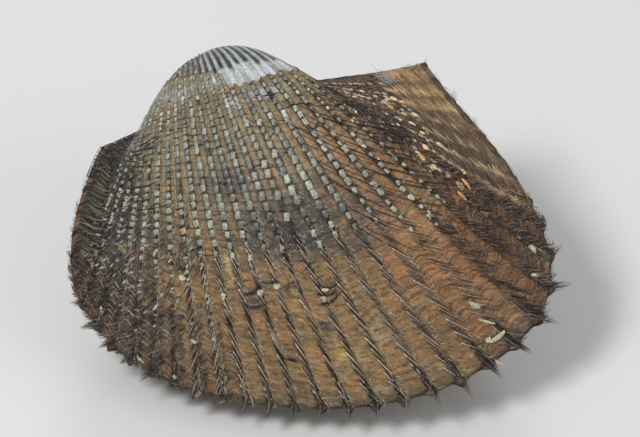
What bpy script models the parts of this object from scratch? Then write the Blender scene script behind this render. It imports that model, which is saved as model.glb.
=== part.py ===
"""Ark clam shell: two ribbed valves closed on each other, with the ligament along their hinge line.

The closed shell lies on its right valve. +X runs along the hinge line to the back end of the shell, +Y is
the hinge side and +Z is up, out of the left valve. Each valve is a horn that grows on a spiral about an
axis beside the hinge line, hollowed by a second, smooth horn.
"""
import math

import bmesh
import bpy
import numpy as np
from mathutils import Matrix, Vector

# Driving dimensions, in metres and radians.
SHELL_LENGTH = 0.055
GROWTH = 0.79                          # shrinkage of the spiral for each radian towards the beak
COIL_CENTRE = (-0.0069, 0.0019, 0.0016)   # along the hinge line, past it and out of the closing plane
COIL_TURN = 4.1                        # how far a horn turns from the margin to the beak
VALVE_GAP = 0.0003                     # between the two valves
REST_TILT_X = math.radians(28.5)       # lean of the closed shell on its right valve, the pose in which
REST_TILT_Y = math.radians(-11.5)      # its centre of mass stands over the point that touches the surface

# The margin seen from outside, as shares of the length: a cubic B-spline from the back end of the hinge
# line round the lower edge to its front end.
MARGIN_POINTS = (
    (0.345, 0.0), (0.38, -0.10), (0.475, -0.255), (0.535, -0.61), (0.20, -0.735),
    (-0.09, -0.68), (-0.37, -0.555), (-0.565, -0.28), (-0.43, -0.07), (-0.375, 0.0),
)

# Ribs, broad and flat with narrow furrows between them
RIB_COUNT = 37
RIB_HEIGHT = 0.0005                    # at the margin; it shrinks with the spiral
RIB_FLANK = 0.2                        # share of a rib's spacing taken by each flank
SLOW_SPREAD = 0.1294                   # the ribs widen and narrow once round the margin by this share
SLOW_WIDEST = 0.3290                   # of their mean width; the margin's share where they are widest
FAST_SPREAD = 0.0609                   # and twice round it by this share
FAST_WIDEST = 0.3066
RIB_RISE = 0.25                        # share of the margin over which they rise from the hinge line
RIB_FADE_BACK = 0.2                    # their height where they start, at the back end
RIB_FADE_FRONT = 0.4                   # and at the front end

# The skin's fringe of soft bristles, a thin skirt past the margin
FRINGE_REACH = 0.0012
FRINGE_THICKNESS = 0.0003
FRINGE_FADE = 0.3                      # its reach at the ends of the hinge line

# Cavity
WALL = 0.0015
HINGE_PLATE = 0.0032                   # width of the plate under the hinge line
CAVITY_GROWTH = 0.87
CAVITY_TURN = 2.0
CAVITY_START = -0.12                   # the cavity's horn begins outside the closing plane

# Ligament, a flattened spindle in the groove between the beaks
LIGAMENT_LENGTH = 0.024
LIGAMENT_WIDTH = 0.0014
LIGAMENT_DEPTH = 0.0008
LIGAMENT_CENTRE = (-0.002, 0.0008, 0.0)

# Number of points
FINE_STEPS = 2001                      # along the margin, where lengths and ribs are counted
HORN_ROWS = 16
ROW_CROWDING = 1.25                    # above 1, the rows stand closer at the margin
HINGE_COLUMNS = 8
CAVITY_COLUMNS = 40
CAVITY_ROWS = 10
SLOPE_STEP = 1e-5                      # turn over which a surface's slope is measured
WELD_DISTANCE = 1e-7                   # points of a tube closer than this are one


def new_collection(name):
    collection = bpy.data.collections.new(name)
    bpy.context.scene.collection.children.link(collection)
    return collection


def new_material(name, colour, roughness):
    material = bpy.data.materials.new(name)
    material.use_nodes = True
    shader = material.node_tree.nodes["Principled BSDF"]
    shader.inputs["Base Color"].default_value = (*colour, 1.0)
    shader.inputs["Roughness"].default_value = roughness
    shader.inputs["Metallic"].default_value = 0.0
    return material


def b_spline(points, t):
    """Points of the clamped uniform cubic B-spline at the parameters t, from 0 to 1."""
    inner = np.linspace(0.0, 1.0, len(points) - 2)
    knots = np.concatenate([[0.0] * 3, inner, [1.0] * 3])
    t = np.clip(t, 0.0, 1.0 - 1e-9)[:, None]
    basis = ((knots[:-1] <= t) & (t < knots[1:])).astype(float)
    for degree in range(1, 4):
        span = knots[degree:] - knots[:-degree]
        share = (t - knots[:-degree]) / np.where(span > 0.0, span, 1.0)
        basis = share[:, :-1] * basis[:, :-1] + (1.0 - share[:, 1:]) * basis[:, 1:]
    return basis @ np.array(points)


def rise_from_hinge(shares, back, front):
    """A share of full size that starts at back, is 1 round the lower edge and ends at front."""
    return np.clip(shares / RIB_RISE, back, 1.0) * np.clip((1.0 - shares) / RIB_RISE, front, 1.0)


def past_margin(points):
    """Unit vectors in the margin's plane that point out of the shell, square to its line."""
    tangent = np.gradient(points, axis=0)
    across = np.column_stack([-tangent[:, 1], tangent[:, 0]])
    return across / np.linalg.norm(across, axis=1, keepdims=True)


def margin(shares):
    """Points of the margin in its plane, at shares of its length from the hinge line's back end."""
    fine = SHELL_LENGTH * b_spline(MARGIN_POINTS, np.linspace(0.0, 1.0, FINE_STEPS))
    steps = np.linalg.norm(np.diff(fine, axis=0), axis=1)
    length = np.concatenate([[0.0], np.cumsum(steps)])
    x = np.interp(shares * length[-1], length, fine[:, 0])
    y = np.interp(shares * length[-1], length, fine[:, 1])
    return np.column_stack([x, y])


def wave_from_start(share, cycles, crest):
    """Running total of a cosine wave round the margin that is highest at crest, as a share."""
    pace = 2.0 * math.pi * cycles
    return (np.sin(pace * (share - crest)) + math.sin(pace * crest)) / pace


def rib_number(share):
    """Number of ribs between the back end of the hinge line and a share of the margin."""
    slow = SLOW_SPREAD * wave_from_start(share, 1, SLOW_WIDEST)
    fast = FAST_SPREAD * wave_from_start(share, 2, FAST_WIDEST)
    return RIB_COUNT * (share - slow - fast)


def spiral(section, turns, growth):
    """Section points, turned about the hinge axis and shrunk towards the coil's centre."""
    x, y, z = COIL_CENTRE
    along = (section[:, 0] - x)[:, None]
    up = (section[:, 1] - y)[:, None]
    shrink = np.exp(-growth * turns)[None, :]
    sine = np.sin(turns)[None, :]
    cosine = np.cos(turns)[None, :]
    return np.stack([
        x + along * shrink,
        y + (up * cosine - z * sine) * shrink,
        z - (up * sine + z * cosine) * shrink,
    ], axis=2)


def outward(section, turns, growth):
    """Unit normals of the spiral surface."""
    surface = spiral(section, turns, growth)
    along_turn = spiral(section, turns + SLOPE_STEP, growth) - surface
    along_section = np.gradient(surface, axis=0)
    normal = np.cross(along_turn, along_section)
    return normal / np.linalg.norm(normal, axis=2, keepdims=True)


def ribbed_section():
    """Shares of the margin at each rib's furrow and two edges, and how high the shell stands there."""
    fine = np.linspace(0.0, 1.0, FINE_STEPS)
    phases = np.arange(RIB_COUNT)[:, None] + np.array([0.0, RIB_FLANK, 1.0 - RIB_FLANK])
    phases = np.append(phases.ravel(), RIB_COUNT)
    shares = np.interp(phases, rib_number(fine), fine)
    crest = np.append(np.tile([0.0, 1.0, 1.0], RIB_COUNT), 0.0)
    return shares, RIB_HEIGHT * crest * rise_from_hinge(shares, RIB_FADE_BACK, RIB_FADE_FRONT)


def closed_horn(name, rings, collection):
    """A grid primitive laid on rings of points, sewn into a tube and closed at both ends."""
    columns, rows = rings.shape[:2]
    mesh = bpy.data.meshes.new(name)
    work = bmesh.new()
    bmesh.ops.create_grid(work, x_segments=columns - 1, y_segments=rows - 1, size=0.5)
    for point in work.verts:
        column = round((point.co.x + 0.5) * (columns - 1))
        row = round((point.co.y + 0.5) * (rows - 1))
        point.co = Vector(rings[column, row])
    bmesh.ops.remove_doubles(work, verts=work.verts, dist=WELD_DISTANCE)
    open_edges = [edge for edge in work.edges if edge.is_boundary]
    bmesh.ops.holes_fill(work, edges=open_edges, sides=0)
    bmesh.ops.recalc_face_normals(work, faces=work.faces)
    work.to_mesh(mesh)
    work.free()
    horn = bpy.data.objects.new(name, mesh)
    collection.objects.link(horn)
    return horn


def valve_rings():
    """The outside of one valve, from the fringe's edge on the plane z = 0 to the beak."""
    shares, height = ribbed_section()
    section = margin(shares)
    turns = COIL_TURN * np.linspace(0.0, 1.0, HORN_ROWS) ** ROW_CROWDING
    ribs = outward(section, turns, GROWTH) * (height[:, None] * np.exp(-GROWTH * turns))[:, :, None]
    outside = spiral(section, turns, GROWTH) + ribs
    along_hinge = np.linspace(0.0, 1.0, HINGE_COLUMNS + 2)[1:, None]
    hinge = section[-1] + (section[0] - section[-1]) * along_hinge
    rings = np.concatenate([outside, spiral(hinge, turns, GROWTH)])
    reach = FRINGE_REACH * rise_from_hinge(shares, FRINGE_FADE, FRINGE_FADE)
    edge = rings[:, 0].copy()
    edge[:len(shares), :2] += past_margin(section) * reach[:, None]
    edge[:, 2] = 0.0
    edge[-1] = edge[0]
    rings[:, 0, 2] = FRINGE_THICKNESS
    return np.concatenate([edge[:, None], rings], axis=1)


def cavity_rings():
    """The smooth hollow of one valve, which starts beyond the plane of the margin."""
    section = margin(np.linspace(0.0, 1.0, CAVITY_COLUMNS))
    section = section - WALL * past_margin(section)
    section[:, 1] = np.minimum(section[:, 1], -HINGE_PLATE)
    section = np.concatenate([section, section[:1]])
    turns = np.linspace(CAVITY_START, CAVITY_TURN, CAVITY_ROWS)
    return spiral(section, turns, CAVITY_GROWTH)


def add_valve(name, side, parts, cutters, material):
    """One valve on its side of the closing plane: 1 for the left one, above, and -1 for the right."""
    flip = np.array([1.0, 1.0, side])
    lift = np.array([0.0, 0.0, side * VALVE_GAP / 2.0])
    valve = closed_horn(name, valve_rings() * flip + lift, parts)
    valve.data.materials.append(material)
    cutter = closed_horn(name + "_cavity", cavity_rings() * flip + lift, cutters)
    cutter.hide_render = True
    cutter.display_type = "WIRE"
    hollow = valve.modifiers.new("Cavity", "BOOLEAN")
    hollow.operation = "DIFFERENCE"
    hollow.solver = "EXACT"
    hollow.object = cutter
    return valve, cutter


def add_ligament(parts, material):
    mesh = bpy.data.meshes.new("ligament")
    work = bmesh.new()
    bmesh.ops.create_uvsphere(work, u_segments=12, v_segments=16, radius=0.5)
    turn = Matrix.Rotation(math.pi / 2.0, 4, "Y")
    size = Matrix.Diagonal((LIGAMENT_LENGTH, LIGAMENT_DEPTH, LIGAMENT_WIDTH, 1.0))
    bmesh.ops.transform(work, matrix=size @ turn, verts=work.verts)
    work.to_mesh(mesh)
    work.free()
    mesh.materials.append(material)
    ligament = bpy.data.objects.new("ligament", mesh)
    ligament.location = LIGAMENT_CENTRE
    parts.objects.link(ligament)
    return ligament


def lowest_and_highest(pieces):
    depsgraph = bpy.context.evaluated_depsgraph_get()
    corners = []
    for piece in pieces:
        evaluated = piece.evaluated_get(depsgraph)
        corners += [piece.matrix_world @ vertex.co for vertex in evaluated.data.vertices]
    corners = np.array(corners)
    return corners.min(axis=0), corners.max(axis=0)


def lay_down(pieces, cutters, collection):
    """Lean the closed shell as it rests, with the middle of its box over the origin."""
    rest = bpy.data.objects.new("rest", None)
    rest.empty_display_size = SHELL_LENGTH / 5.0
    rest.rotation_euler = (REST_TILT_X, REST_TILT_Y, 0.0)
    collection.objects.link(rest)
    for piece in pieces + cutters:
        piece.parent = rest
    bpy.context.view_layer.update()
    low, high = lowest_and_highest(pieces)
    middle = (low + high) / 2.0
    rest.location = (-middle[0], -middle[1], -low[2])


def main():
    for item in list(bpy.data.objects):
        bpy.data.objects.remove(item, do_unlink=True)
    parts = new_collection("ark_clam_shell")
    cutters = new_collection("cutters")
    left_brown = new_material("left_valve_skin", (0.30, 0.17, 0.08), 0.45)
    right_brown = new_material("right_valve_skin", (0.28, 0.16, 0.08), 0.45)
    dark_horn = new_material("ligament_horn", (0.05, 0.03, 0.02), 0.5)
    left_valve, left_cutter = add_valve("left_valve", 1, parts, cutters, left_brown)
    right_valve, right_cutter = add_valve("right_valve", -1, parts, cutters, right_brown)
    ligament = add_ligament(parts, dark_horn)
    lay_down([left_valve, right_valve, ligament], [left_cutter, right_cutter], parts)


main()
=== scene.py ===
import math
import bpy
import numpy as np
from mathutils import Euler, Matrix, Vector


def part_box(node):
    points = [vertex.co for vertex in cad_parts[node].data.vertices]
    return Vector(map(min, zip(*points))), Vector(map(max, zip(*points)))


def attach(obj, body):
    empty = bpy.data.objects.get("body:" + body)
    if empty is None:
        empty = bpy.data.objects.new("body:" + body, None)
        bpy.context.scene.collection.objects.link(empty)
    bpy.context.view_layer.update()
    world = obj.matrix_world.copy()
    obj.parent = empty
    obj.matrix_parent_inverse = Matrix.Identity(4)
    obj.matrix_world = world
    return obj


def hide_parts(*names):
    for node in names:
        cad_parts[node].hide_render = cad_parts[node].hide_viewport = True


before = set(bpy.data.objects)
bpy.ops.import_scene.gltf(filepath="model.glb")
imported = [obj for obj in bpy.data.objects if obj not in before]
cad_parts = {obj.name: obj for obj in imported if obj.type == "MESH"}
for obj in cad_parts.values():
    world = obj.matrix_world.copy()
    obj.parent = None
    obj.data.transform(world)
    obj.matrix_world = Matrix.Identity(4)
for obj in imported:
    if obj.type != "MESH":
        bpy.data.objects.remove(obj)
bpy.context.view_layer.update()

# An ark clam shell: two white ribbed valves, each under a brown skin with bristles in its furrows.
# Everything is worked out in the shell's own frame: x along the hinge line to the back end, y to the
# hinge, z out of the left valve, with the valves' meeting plane at z = 0. placeShell() lays it down.
# A place on a valve is a rib number, whole in the furrows and counted from the back end, and a turn, the
# spiral's angle in radians from the margin up to the beak. Lengths are metres, colours 0 to 255.

shell = {
    "length": 0.055,
    "growth": 0.79,              # shrinkage of the spiral for each radian towards the beak
    "coil": (-0.0069, 0.0019, 0.0016),
    "beakTurn": 4.1,
    "gap": 0.0003,               # between the edges of the two valves
    "lean": (28.5, -11.5),       # degrees about x, then y, on its right valve
    "hingeMiddle": (-0.002, 0.0008, 0.0),
    "lowest": 0.00005,           # nothing comes nearer to the floor
    "ribs": 37,
    "ribWaves": (0.1294, 0.3290, 0.0609, 0.3066),     # size and shift of the two waves in their spacing
    "ribHeight": 0.00052,
}
marginPoints = [
    (0.345, 0.0), (0.38, -0.10), (0.475, -0.255), (0.535, -0.61), (0.20, -0.735),
    (-0.09, -0.68), (-0.37, -0.555), (-0.565, -0.28), (-0.43, -0.07), (-0.375, 0.0),
]
tau = 2.0 * math.pi


# A clamped uniform cubic B-spline through the control points, by the Cox-de Boor recursion
def bSpline(points, t):
    inner = np.linspace(0.0, 1.0, len(points) - 2)
    knots = np.concatenate([[0.0] * 3, inner, [1.0] * 3])
    t = np.clip(t, 0.0, 1.0 - 1e-9)[:, None]
    basis = ((knots[:-1] <= t) & (t < knots[1:])).astype(float)
    for degree in range(1, 4):
        span = knots[degree:] - knots[:-degree]
        share = (t - knots[:-degree]) / np.where(span > 0.0, span, 1.0)
        basis = share[:, :-1] * basis[:, :-1] + (1.0 - share[:, 1:]) * basis[:, 1:]
    return basis @ np.array(points)


# The margin in fine steps: x, y and both slopes for each share of its length
fineMargin = shell["length"] * bSpline(marginPoints, np.linspace(0.0, 1.0, 4001))
fineSteps = np.linalg.norm(np.diff(fineMargin, axis=0), axis=1)
fineShares = np.concatenate([[0.0], np.cumsum(fineSteps)]) / fineSteps.sum()
fineCurves = np.concatenate([fineMargin, np.gradient(fineMargin, fineShares, axis=0)], axis=1).T


def marginAt(share):
    return [np.interp(share, fineShares, curve) for curve in fineCurves]


# Ribs from the hinge line's back end: their even number less two sine waves of the share
def ribAt(share):
    first, firstShift, second, secondShift = shell["ribWaves"]
    slow = np.sin(tau * (share - firstShift)) + math.sin(tau * firstShift)
    fast = np.sin(2 * tau * (share - secondShift)) + math.sin(2 * tau * secondShift)
    return shell["ribs"] * (share - first / tau * slow - second / (2 * tau) * fast)


fineRibs = ribAt(fineShares)


def shareAt(rib):
    return np.interp(rib, fineRibs, fineShares)


# Straight lines between knots, each a place and the value there
def atKnots(knots, place):
    return np.interp(place, *np.array(knots, float).T)


# A part of the way from one value to another
def between(ends, part):
    return ends[0] + (ends[1] - ends[0]) * part


def smooth(low, high, value):
    t = np.clip((value - low) / (high - low), 0.0, 1.0)
    return t * t * (3.0 - 2.0 * t)


def unit(vectors):
    return vectors / np.maximum(np.linalg.norm(vectors, axis=-1, keepdims=True), 1e-12)


def shrinkAt(turn):
    return np.exp(-shell["growth"] * turn)


# The spiral: a margin point is turned by an angle about the hinge axis and drawn towards the coil's
# centre by exp(-growth * turn). Gives the point and the surface's two slopes, for section point (x, y).
def spiral(x, y, slopeX, slopeY, turn, growth):
    centreX, centreY, centreZ = shell["coil"]
    shrink = np.exp(-growth * turn)
    sine, cosine = np.sin(turn), np.cos(turn)
    along, up = x - centreX, y - centreY
    flat = up * cosine - centreZ * sine
    deep = up * sine + centreZ * cosine
    point = np.stack([centreX + along * shrink, centreY + flat * shrink, centreZ - deep * shrink], -1)
    bySection = np.stack([slopeX * shrink, slopeY * cosine * shrink, -slopeY * sine * shrink], -1)
    byTurn = np.stack([
        -growth * along * shrink,
        (-deep - growth * flat) * shrink,
        (-flat + growth * deep) * shrink,
    ], -1)
    return point, bySection, byTurn


# Point, outward normal and both slopes at a share of the margin and a turn
def onValve(share, turn):
    share, turn = np.broadcast_arrays(share, turn)
    point, bySection, byTurn = spiral(*marginAt(share), turn, shell["growth"])
    return point, unit(np.cross(byTurn, bySection)), bySection, byTurn


# Value noise on a plane: random numbers at whole points, blended smoothly between them; each octave is
# twice as fine and half as strong, and moved so that the octaves' points don't meet
def noise(u, v, seed, octaves=1):
    size, shiftU, shiftV = 64, 17.3, 5.9
    table = np.random.default_rng(seed).random((size, size))
    total, weight = 0.0, 0.0
    for octave in range(octaves):
        scale = 2.0 ** octave
        uu, vv = u * scale + shiftU * octave, v * scale + shiftV * octave
        u0, v0 = np.floor(uu).astype(int), np.floor(vv).astype(int)
        fu, fv = uu - u0, vv - v0
        fu, fv = fu * fu * (3 - 2 * fu), fv * fv * (3 - 2 * fv)
        left, right, low, high = u0 % size, (u0 + 1) % size, v0 % size, (v0 + 1) % size
        a = table[left, low] * (1 - fu) + table[right, low] * fu
        b = table[left, high] * (1 - fu) + table[right, high] * fu
        total = total + (a * (1 - fv) + b * fv) / scale
        weight += 1.0 / scale
    return total / weight


# Laying down: turned as the CAD model lies, and moved until the ligament's box matches
leanTurn = np.array(Euler([math.radians(a) for a in (*shell["lean"], 0.0)]).to_matrix())
ligamentLow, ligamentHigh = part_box("ligament")
restMove = np.array((ligamentLow + ligamentHigh) / 2.0) - leanTurn @ np.array(shell["hingeMiddle"])


def placeShell(points, side):
    points = np.array(points, float)
    points[..., 2] = side * (points[..., 2] + shell["gap"] / 2.0)
    placed = points @ leanTurn.T + restMove
    placed[..., 2] = np.maximum(placed[..., 2], shell["lowest"])
    return placed


# A mesh from whole arrays: quads or other faces, a colour for each point and, if asked, a growth map of
# ribs across and turns up
def addPiece(name, points, faces, material, tint, uv=None):
    mesh = bpy.data.meshes.new(name)
    sizes = np.concatenate([np.full(len(f), f.shape[1]) for f in faces])
    corners = np.concatenate([f.ravel() for f in faces])
    mesh.vertices.add(len(points))
    mesh.vertices.foreach_set("co", np.asarray(points, np.float32).ravel())
    mesh.loops.add(len(corners))
    mesh.loops.foreach_set("vertex_index", corners.astype(np.int32))
    mesh.polygons.add(len(sizes))
    starts = np.concatenate([[0], np.cumsum(sizes)[:-1]])
    mesh.polygons.foreach_set("loop_start", starts.astype(np.int32))
    mesh.polygons.foreach_set("use_smooth", np.ones(len(sizes), bool))
    if uv is not None:
        layer = mesh.uv_layers.new(name="growth")
        layer.data.foreach_set("uv", np.asarray(uv, np.float32)[corners].ravel())
    layer = mesh.attributes.new("tint", "FLOAT_COLOR", "POINT")
    colour = tint if tint.shape[1] == 4 else np.concatenate([tint, np.ones((len(points), 1))], 1)
    layer.data.foreach_set("color", colour.astype(np.float32).ravel())
    mesh.update(calc_edges=True)
    mesh.validate()
    mesh.materials.append(material)
    piece = bpy.data.objects.new(name, mesh)
    bpy.context.scene.collection.objects.link(piece)
    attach(piece, "root")
    return piece


# A piece worked out for the left hand: laid down on its own side, its faces turned over on the right
def addHanded(hand, name, points, faces, material, tint, uv=None):
    if hand["side"] < 0:
        faces = [f[:, ::-1] for f in faces]
    placed = placeShell(points, hand["side"])
    return addPiece(hand["name"] + name, placed, faces, material, tint, uv)


# Quads between neighbouring rings of a grid of points numbered row by row
def ringFaces(rows, columns, flip=False):
    row, column = np.meshgrid(np.arange(rows - 1), np.arange(columns), indexing="ij")
    a = row * columns + column
    b = row * columns + (column + 1) % columns
    quads = np.stack([a, b, b + columns, a + columns], -1).reshape(-1, 4)
    return quads[:, ::-1] if flip else quads


# Closes a ring of points with a fan to one more point
def fan(firstInRing, columns, centre, flip):
    a = firstInRing + np.arange(columns)
    b = firstInRing + (np.arange(columns) + 1) % columns
    triangles = np.stack([a, b, np.full(columns, centre)], -1)
    return triangles[:, ::-1] if flip else triangles


# Growth rows: where the beads of neighbouring furrows line up, wandering a little from a steady turn
growthRows = {"pitch": 0.0405, "first": 0.01, "wander": 0.05, "frontBend": 0.028}


def rowDrift(rib, turn, seed):
    bent = growthRows["frontBend"] * np.maximum(rib - 26.0, 0.0) * smooth(0.35, 0.75, turn)
    return growthRows["wander"] * noise(rib * 0.35, turn * 2.0, seed) - bent


skin = {
    "columnsPerRib": 9,
    "hingeColumns": 26,
    "rows": 216,
    "rowCrowding": 0.93,         # under 1 sets the rows closer near the worn edge
    "backing": 9,                # rows of its underside
    "thickness": 0.00012,
    "lift": 0.00003,             # over the valve
    "lip": 0.0001,               # thickening at the worn edge
    "roughness": 0.18,           # in rib heights, as the ledges are
    "ledges": 0.16,
    # the worn edge near the beak: rib, and the turn at which the skin ends there
    "wornEdge": ((0, 2.15), (7.5, 2.0), (9.3, 1.38), (15.4, 1.335), (17.2, 1.350), (17.35, 1.50),
                 (19.0, 1.56), (21.0, 1.62), (25.5, 1.70), (28.0, 1.9), (37, 2.15)),
    "wornRagged": 0.035,
    "ledgeEnd": (1.36, 1.25),    # turns where the ledges fade out
    # how far the growth lines sag between two furrows, in turns
    "arch": ((8, 0.016), (13, 0.012), (15, 0.004), (21, 0.004), (24, 0.014), (30, 0.014)),
}


def wornEdge(rib):
    ragged = noise(rib * 2.3, rib * 0.0, 5, 3) - 0.5
    return atKnots(skin["wornEdge"], rib) + 2.0 * skin["wornRagged"] * ragged


# Share of full relief along the margin: low at both ends of the hinge line
def ribStrength(share):
    return np.clip(share / 0.25, 0.25, 1.0) * np.clip((1.0 - share) / 0.25, 0.4, 1.0)


# Half width of a furrow in rib spacings: narrow at the margin, wider among the beads
def furrowHalf(turn):
    return 0.11 + 0.115 * smooth(0.38, 0.72, turn)


# Relief of the surface over its furrows: a flat-topped wave with rounded shoulders
def ribProfile(rib, turn):
    away = np.abs(rib - np.round(rib))
    half = furrowHalf(turn)
    return smooth(half - 0.07, half + 0.08, away)


# Height of the ribs over the furrows, before the spiral shrinks it
def ridgeAt(rib, share, turn):
    return shell["ribHeight"] * ribProfile(rib, turn) * ribStrength(share)


# furrow is painted shade, the dark laid into the furrows of the skin
colours = {
    "orange": (132, 102, 64), "orangeDark": (104, 76, 48), "tan": (108, 92, 62), "tanPale": (134, 118, 84),
    "dark": (43, 44, 47), "back": (58, 46, 42), "backPale": (98, 80, 68), "ear": (166, 132, 92),
    "front": (36, 37, 39), "frontPale": (74, 72, 64), "bare": (176, 181, 182), "furrow": (44, 36, 31),
    "rust": (144, 92, 52), "yellow": (146, 118, 62), "web": (78, 70, 58), "frontLow": (70, 61, 54),
    "brightTan": (150, 124, 92), "brightRust": (174, 116, 60), "golden": (104, 82, 60),
    "backRow": (206, 178, 130), "corner": (156, 100, 56), "spot": (44, 42, 44), "warm": (190, 172, 118),
    "horn": (44, 36, 32),
}
# Where the skin's zones fade in or out, in ribs or turns: none of it at the first, all of it at the second
zones = {
    "upper": (0.42, 0.80), "rust": (14.5, 12.0), "rustBack": (8.0, 9.5), "bright": (15.0, 13.0),
    "brightLow": (0.30, 0.46), "brightHigh": (1.10, 0.85), "back": (10.6, 8.6), "backHigh": (1.35, 0.95),
    "goldenLow": (0.20, 0.04), "goldenBack": (8.6, 6.0), "backRust": (4.0, 7.0), "ear": (3.8, 2.4),
    "earLow": (0.40, 0.24), "front": (24.2, 28.0), "frontHigh": (0.95, 0.72), "frontLow": (0.55, 0.35),
    "frontLowEnd": (32.0, 29.0), "corner": (31.8, 33.4), "cornerLow": (0.10, 0.055), "web": (0.032, 0.004),
}

# Soft-edged marks on the skin: rib, turn, half width in ribs, half height in turns, strength
darkMarks = [
    (17.0, 0.58, 4.2, 0.12, 1.0), (20.2, 0.78, 2.0, 0.08, 0.8), (24.0, 0.50, 3.2, 0.10, 0.75),
    (15.0, 0.68, 1.6, 0.08, 0.7), (27.0, 0.20, 2.2, 0.14, 0.8), (29.0, 0.55, 2.0, 0.22, 0.8),
    (14.5, 0.47, 1.4, 0.07, 0.6), (33.0, 0.55, 1.6, 0.10, 0.6),
]
spots = [
    (17.5, 0.248, 0.34, 0.018, 1.0), (20.4, 0.335, 0.50, 0.020, 0.9), (18.5, 0.378, 0.30, 0.010, 1.0),
    (21.3, 0.375, 0.35, 0.009, 0.8), (20.6, 0.20, 0.5, 0.006, 0.6), (24.2, 0.42, 0.5, 0.012, 0.9),
    (16.6, 0.345, 0.5, 0.024, 0.45), (19.6, 0.40, 0.6, 0.010, 0.6), (26.5, 0.36, 0.6, 0.02, 0.8),
    (19.5, 0.30, 0.5, 0.005, 0.5), (22.4, 0.30, 0.5, 0.005, 0.5), (13.5, 0.13, 0.5, 0.006, 0.4),
    (15.4, 0.05, 0.6, 0.016, 0.5), (18.4, 0.04, 0.6, 0.012, 0.4), (12.6, 0.045, 0.5, 0.020, 0.5),
]
paleMarks = [
    (18.8, 1.45, 1.3, 0.06, 0.9), (23.4, 1.44, 2.3, 0.08, 0.7), (14.2, 1.22, 1.6, 0.04, 0.7),
    (17.3, 1.22, 0.5, 0.04, 0.7),
]
# Pale yellow marks on the ribs; the first, a narrow streak up rib 21.4, is a painted highlight
yellowAndHighlightMarks = [
    (21.4, 0.45, 0.16, 0.055, 1.0), (9.0, 0.49, 0.40, 0.025, 0.8), (17.0, 0.14, 1.3, 0.05, 0.30),
    (28.4, 0.40, 0.4, 0.025, 0.5),
]
# Stained patches: the same five numbers, then their colour
patches = [
    (17.4, 0.16, 0.50, 0.020, 0.65, (172, 140, 62)), (16.0, 0.15, 0.40, 0.020, 0.55, (160, 138, 78)),
    (19.6, 0.15, 0.50, 0.030, 0.55, (108, 70, 48)), (17.2, 0.075, 0.50, 0.018, 0.65, (146, 92, 42)),
    (16.7, 0.035, 0.42, 0.014, 0.75, (156, 150, 126)), (15.5, 0.19, 0.40, 0.020, 0.50, (150, 142, 112)),
    (15.0, 0.25, 0.50, 0.050, 0.40, (130, 112, 84)), (13.6, 0.36, 0.50, 0.030, 0.65, (166, 102, 48)),
    (13.7, 0.25, 0.40, 0.030, 0.40, (152, 116, 74)), (12.2, 0.28, 0.40, 0.030, 0.65, (170, 106, 54)),
    (12.0, 0.12, 0.45, 0.030, 0.60, (112, 76, 66)), (13.0, 0.15, 0.50, 0.030, 0.45, (128, 88, 68)),
    (10.5, 0.22, 0.70, 0.060, 0.45, (108, 70, 52)), (9.3, 0.35, 0.50, 0.030, 0.50, (156, 98, 50)),
    (8.3, 0.40, 0.40, 0.030, 0.50, (160, 104, 56)), (22.7, 0.034, 0.40, 0.012, 0.55, (152, 142, 122)),
    (21.2, 0.018, 0.50, 0.010, 0.55, (152, 142, 122)), (18.6, 0.012, 0.50, 0.008, 0.55, (142, 130, 106)),
    (21.6, 0.09, 0.50, 0.040, 0.35, (146, 98, 52)), (24.4, 0.33, 0.50, 0.020, 0.60, (166, 114, 60)),
    (23.5, 0.40, 0.50, 0.020, 0.55, (156, 112, 62)), (20.5, 0.05, 0.60, 0.030, 0.45, (112, 74, 50)),
    (14.6, 0.05, 0.50, 0.020, 0.50, (152, 140, 110)), (18.5, 0.20, 0.45, 0.025, 0.40, (118, 80, 52)),
]


# Strength of the strongest listed mark at each place: a bell curve of the distance in its half sizes
def marks(rib, turn, listed):
    total = np.zeros(np.broadcast(rib, turn).shape)
    for atRib, atTurn, wide, high, strength in listed:
        away = ((rib - atRib) / wide) ** 2 + ((turn - atTurn) / high) ** 2
        total = np.maximum(total, strength * np.exp(-away * 0.9))
    return total


# Broken pale rows between the back ribs near the margin
backRows = {"ribs": (1.6, 2.6, 3.8, 5.0, 6.2, 7.4), "half": 0.15, "turns": (0.43, 0.30)}


def inBackRow(rib, turn, seed):
    away = np.min([np.abs(rib - row + 0.05 * np.sin(19.0 * turn + row)) for row in backRows["ribs"]], axis=0)
    window = smooth(0.0, 0.06, turn) * smooth(*backRows["turns"], turn)
    patchy = 0.25 + 0.75 * smooth(0.34, 0.60, noise(rib * 0.9, turn * 24.0, seed + 5, 2))
    return np.exp(-((away / backRows["half"]) ** 2)) * window * patchy


# Linear light from a colour's name, its (red, green, blue), or an array that is linear already
def linear(colour):
    if isinstance(colour, np.ndarray):
        return colour
    value = np.array(colours[colour] if isinstance(colour, str) else colour) / 255.0
    return np.where(value <= 0.04045, value / 12.92, ((value + 0.055) / 1.055) ** 2.4)


def mix(a, b, share):
    a, b = linear(a), linear(b)
    return a + (b - a) * np.asarray(share)[..., None]


# Coats over a colour, each with its own share
def layered(colour, *coats):
    for paint, share in coats:
        colour = mix(colour, paint, share)
    return colour


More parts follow.
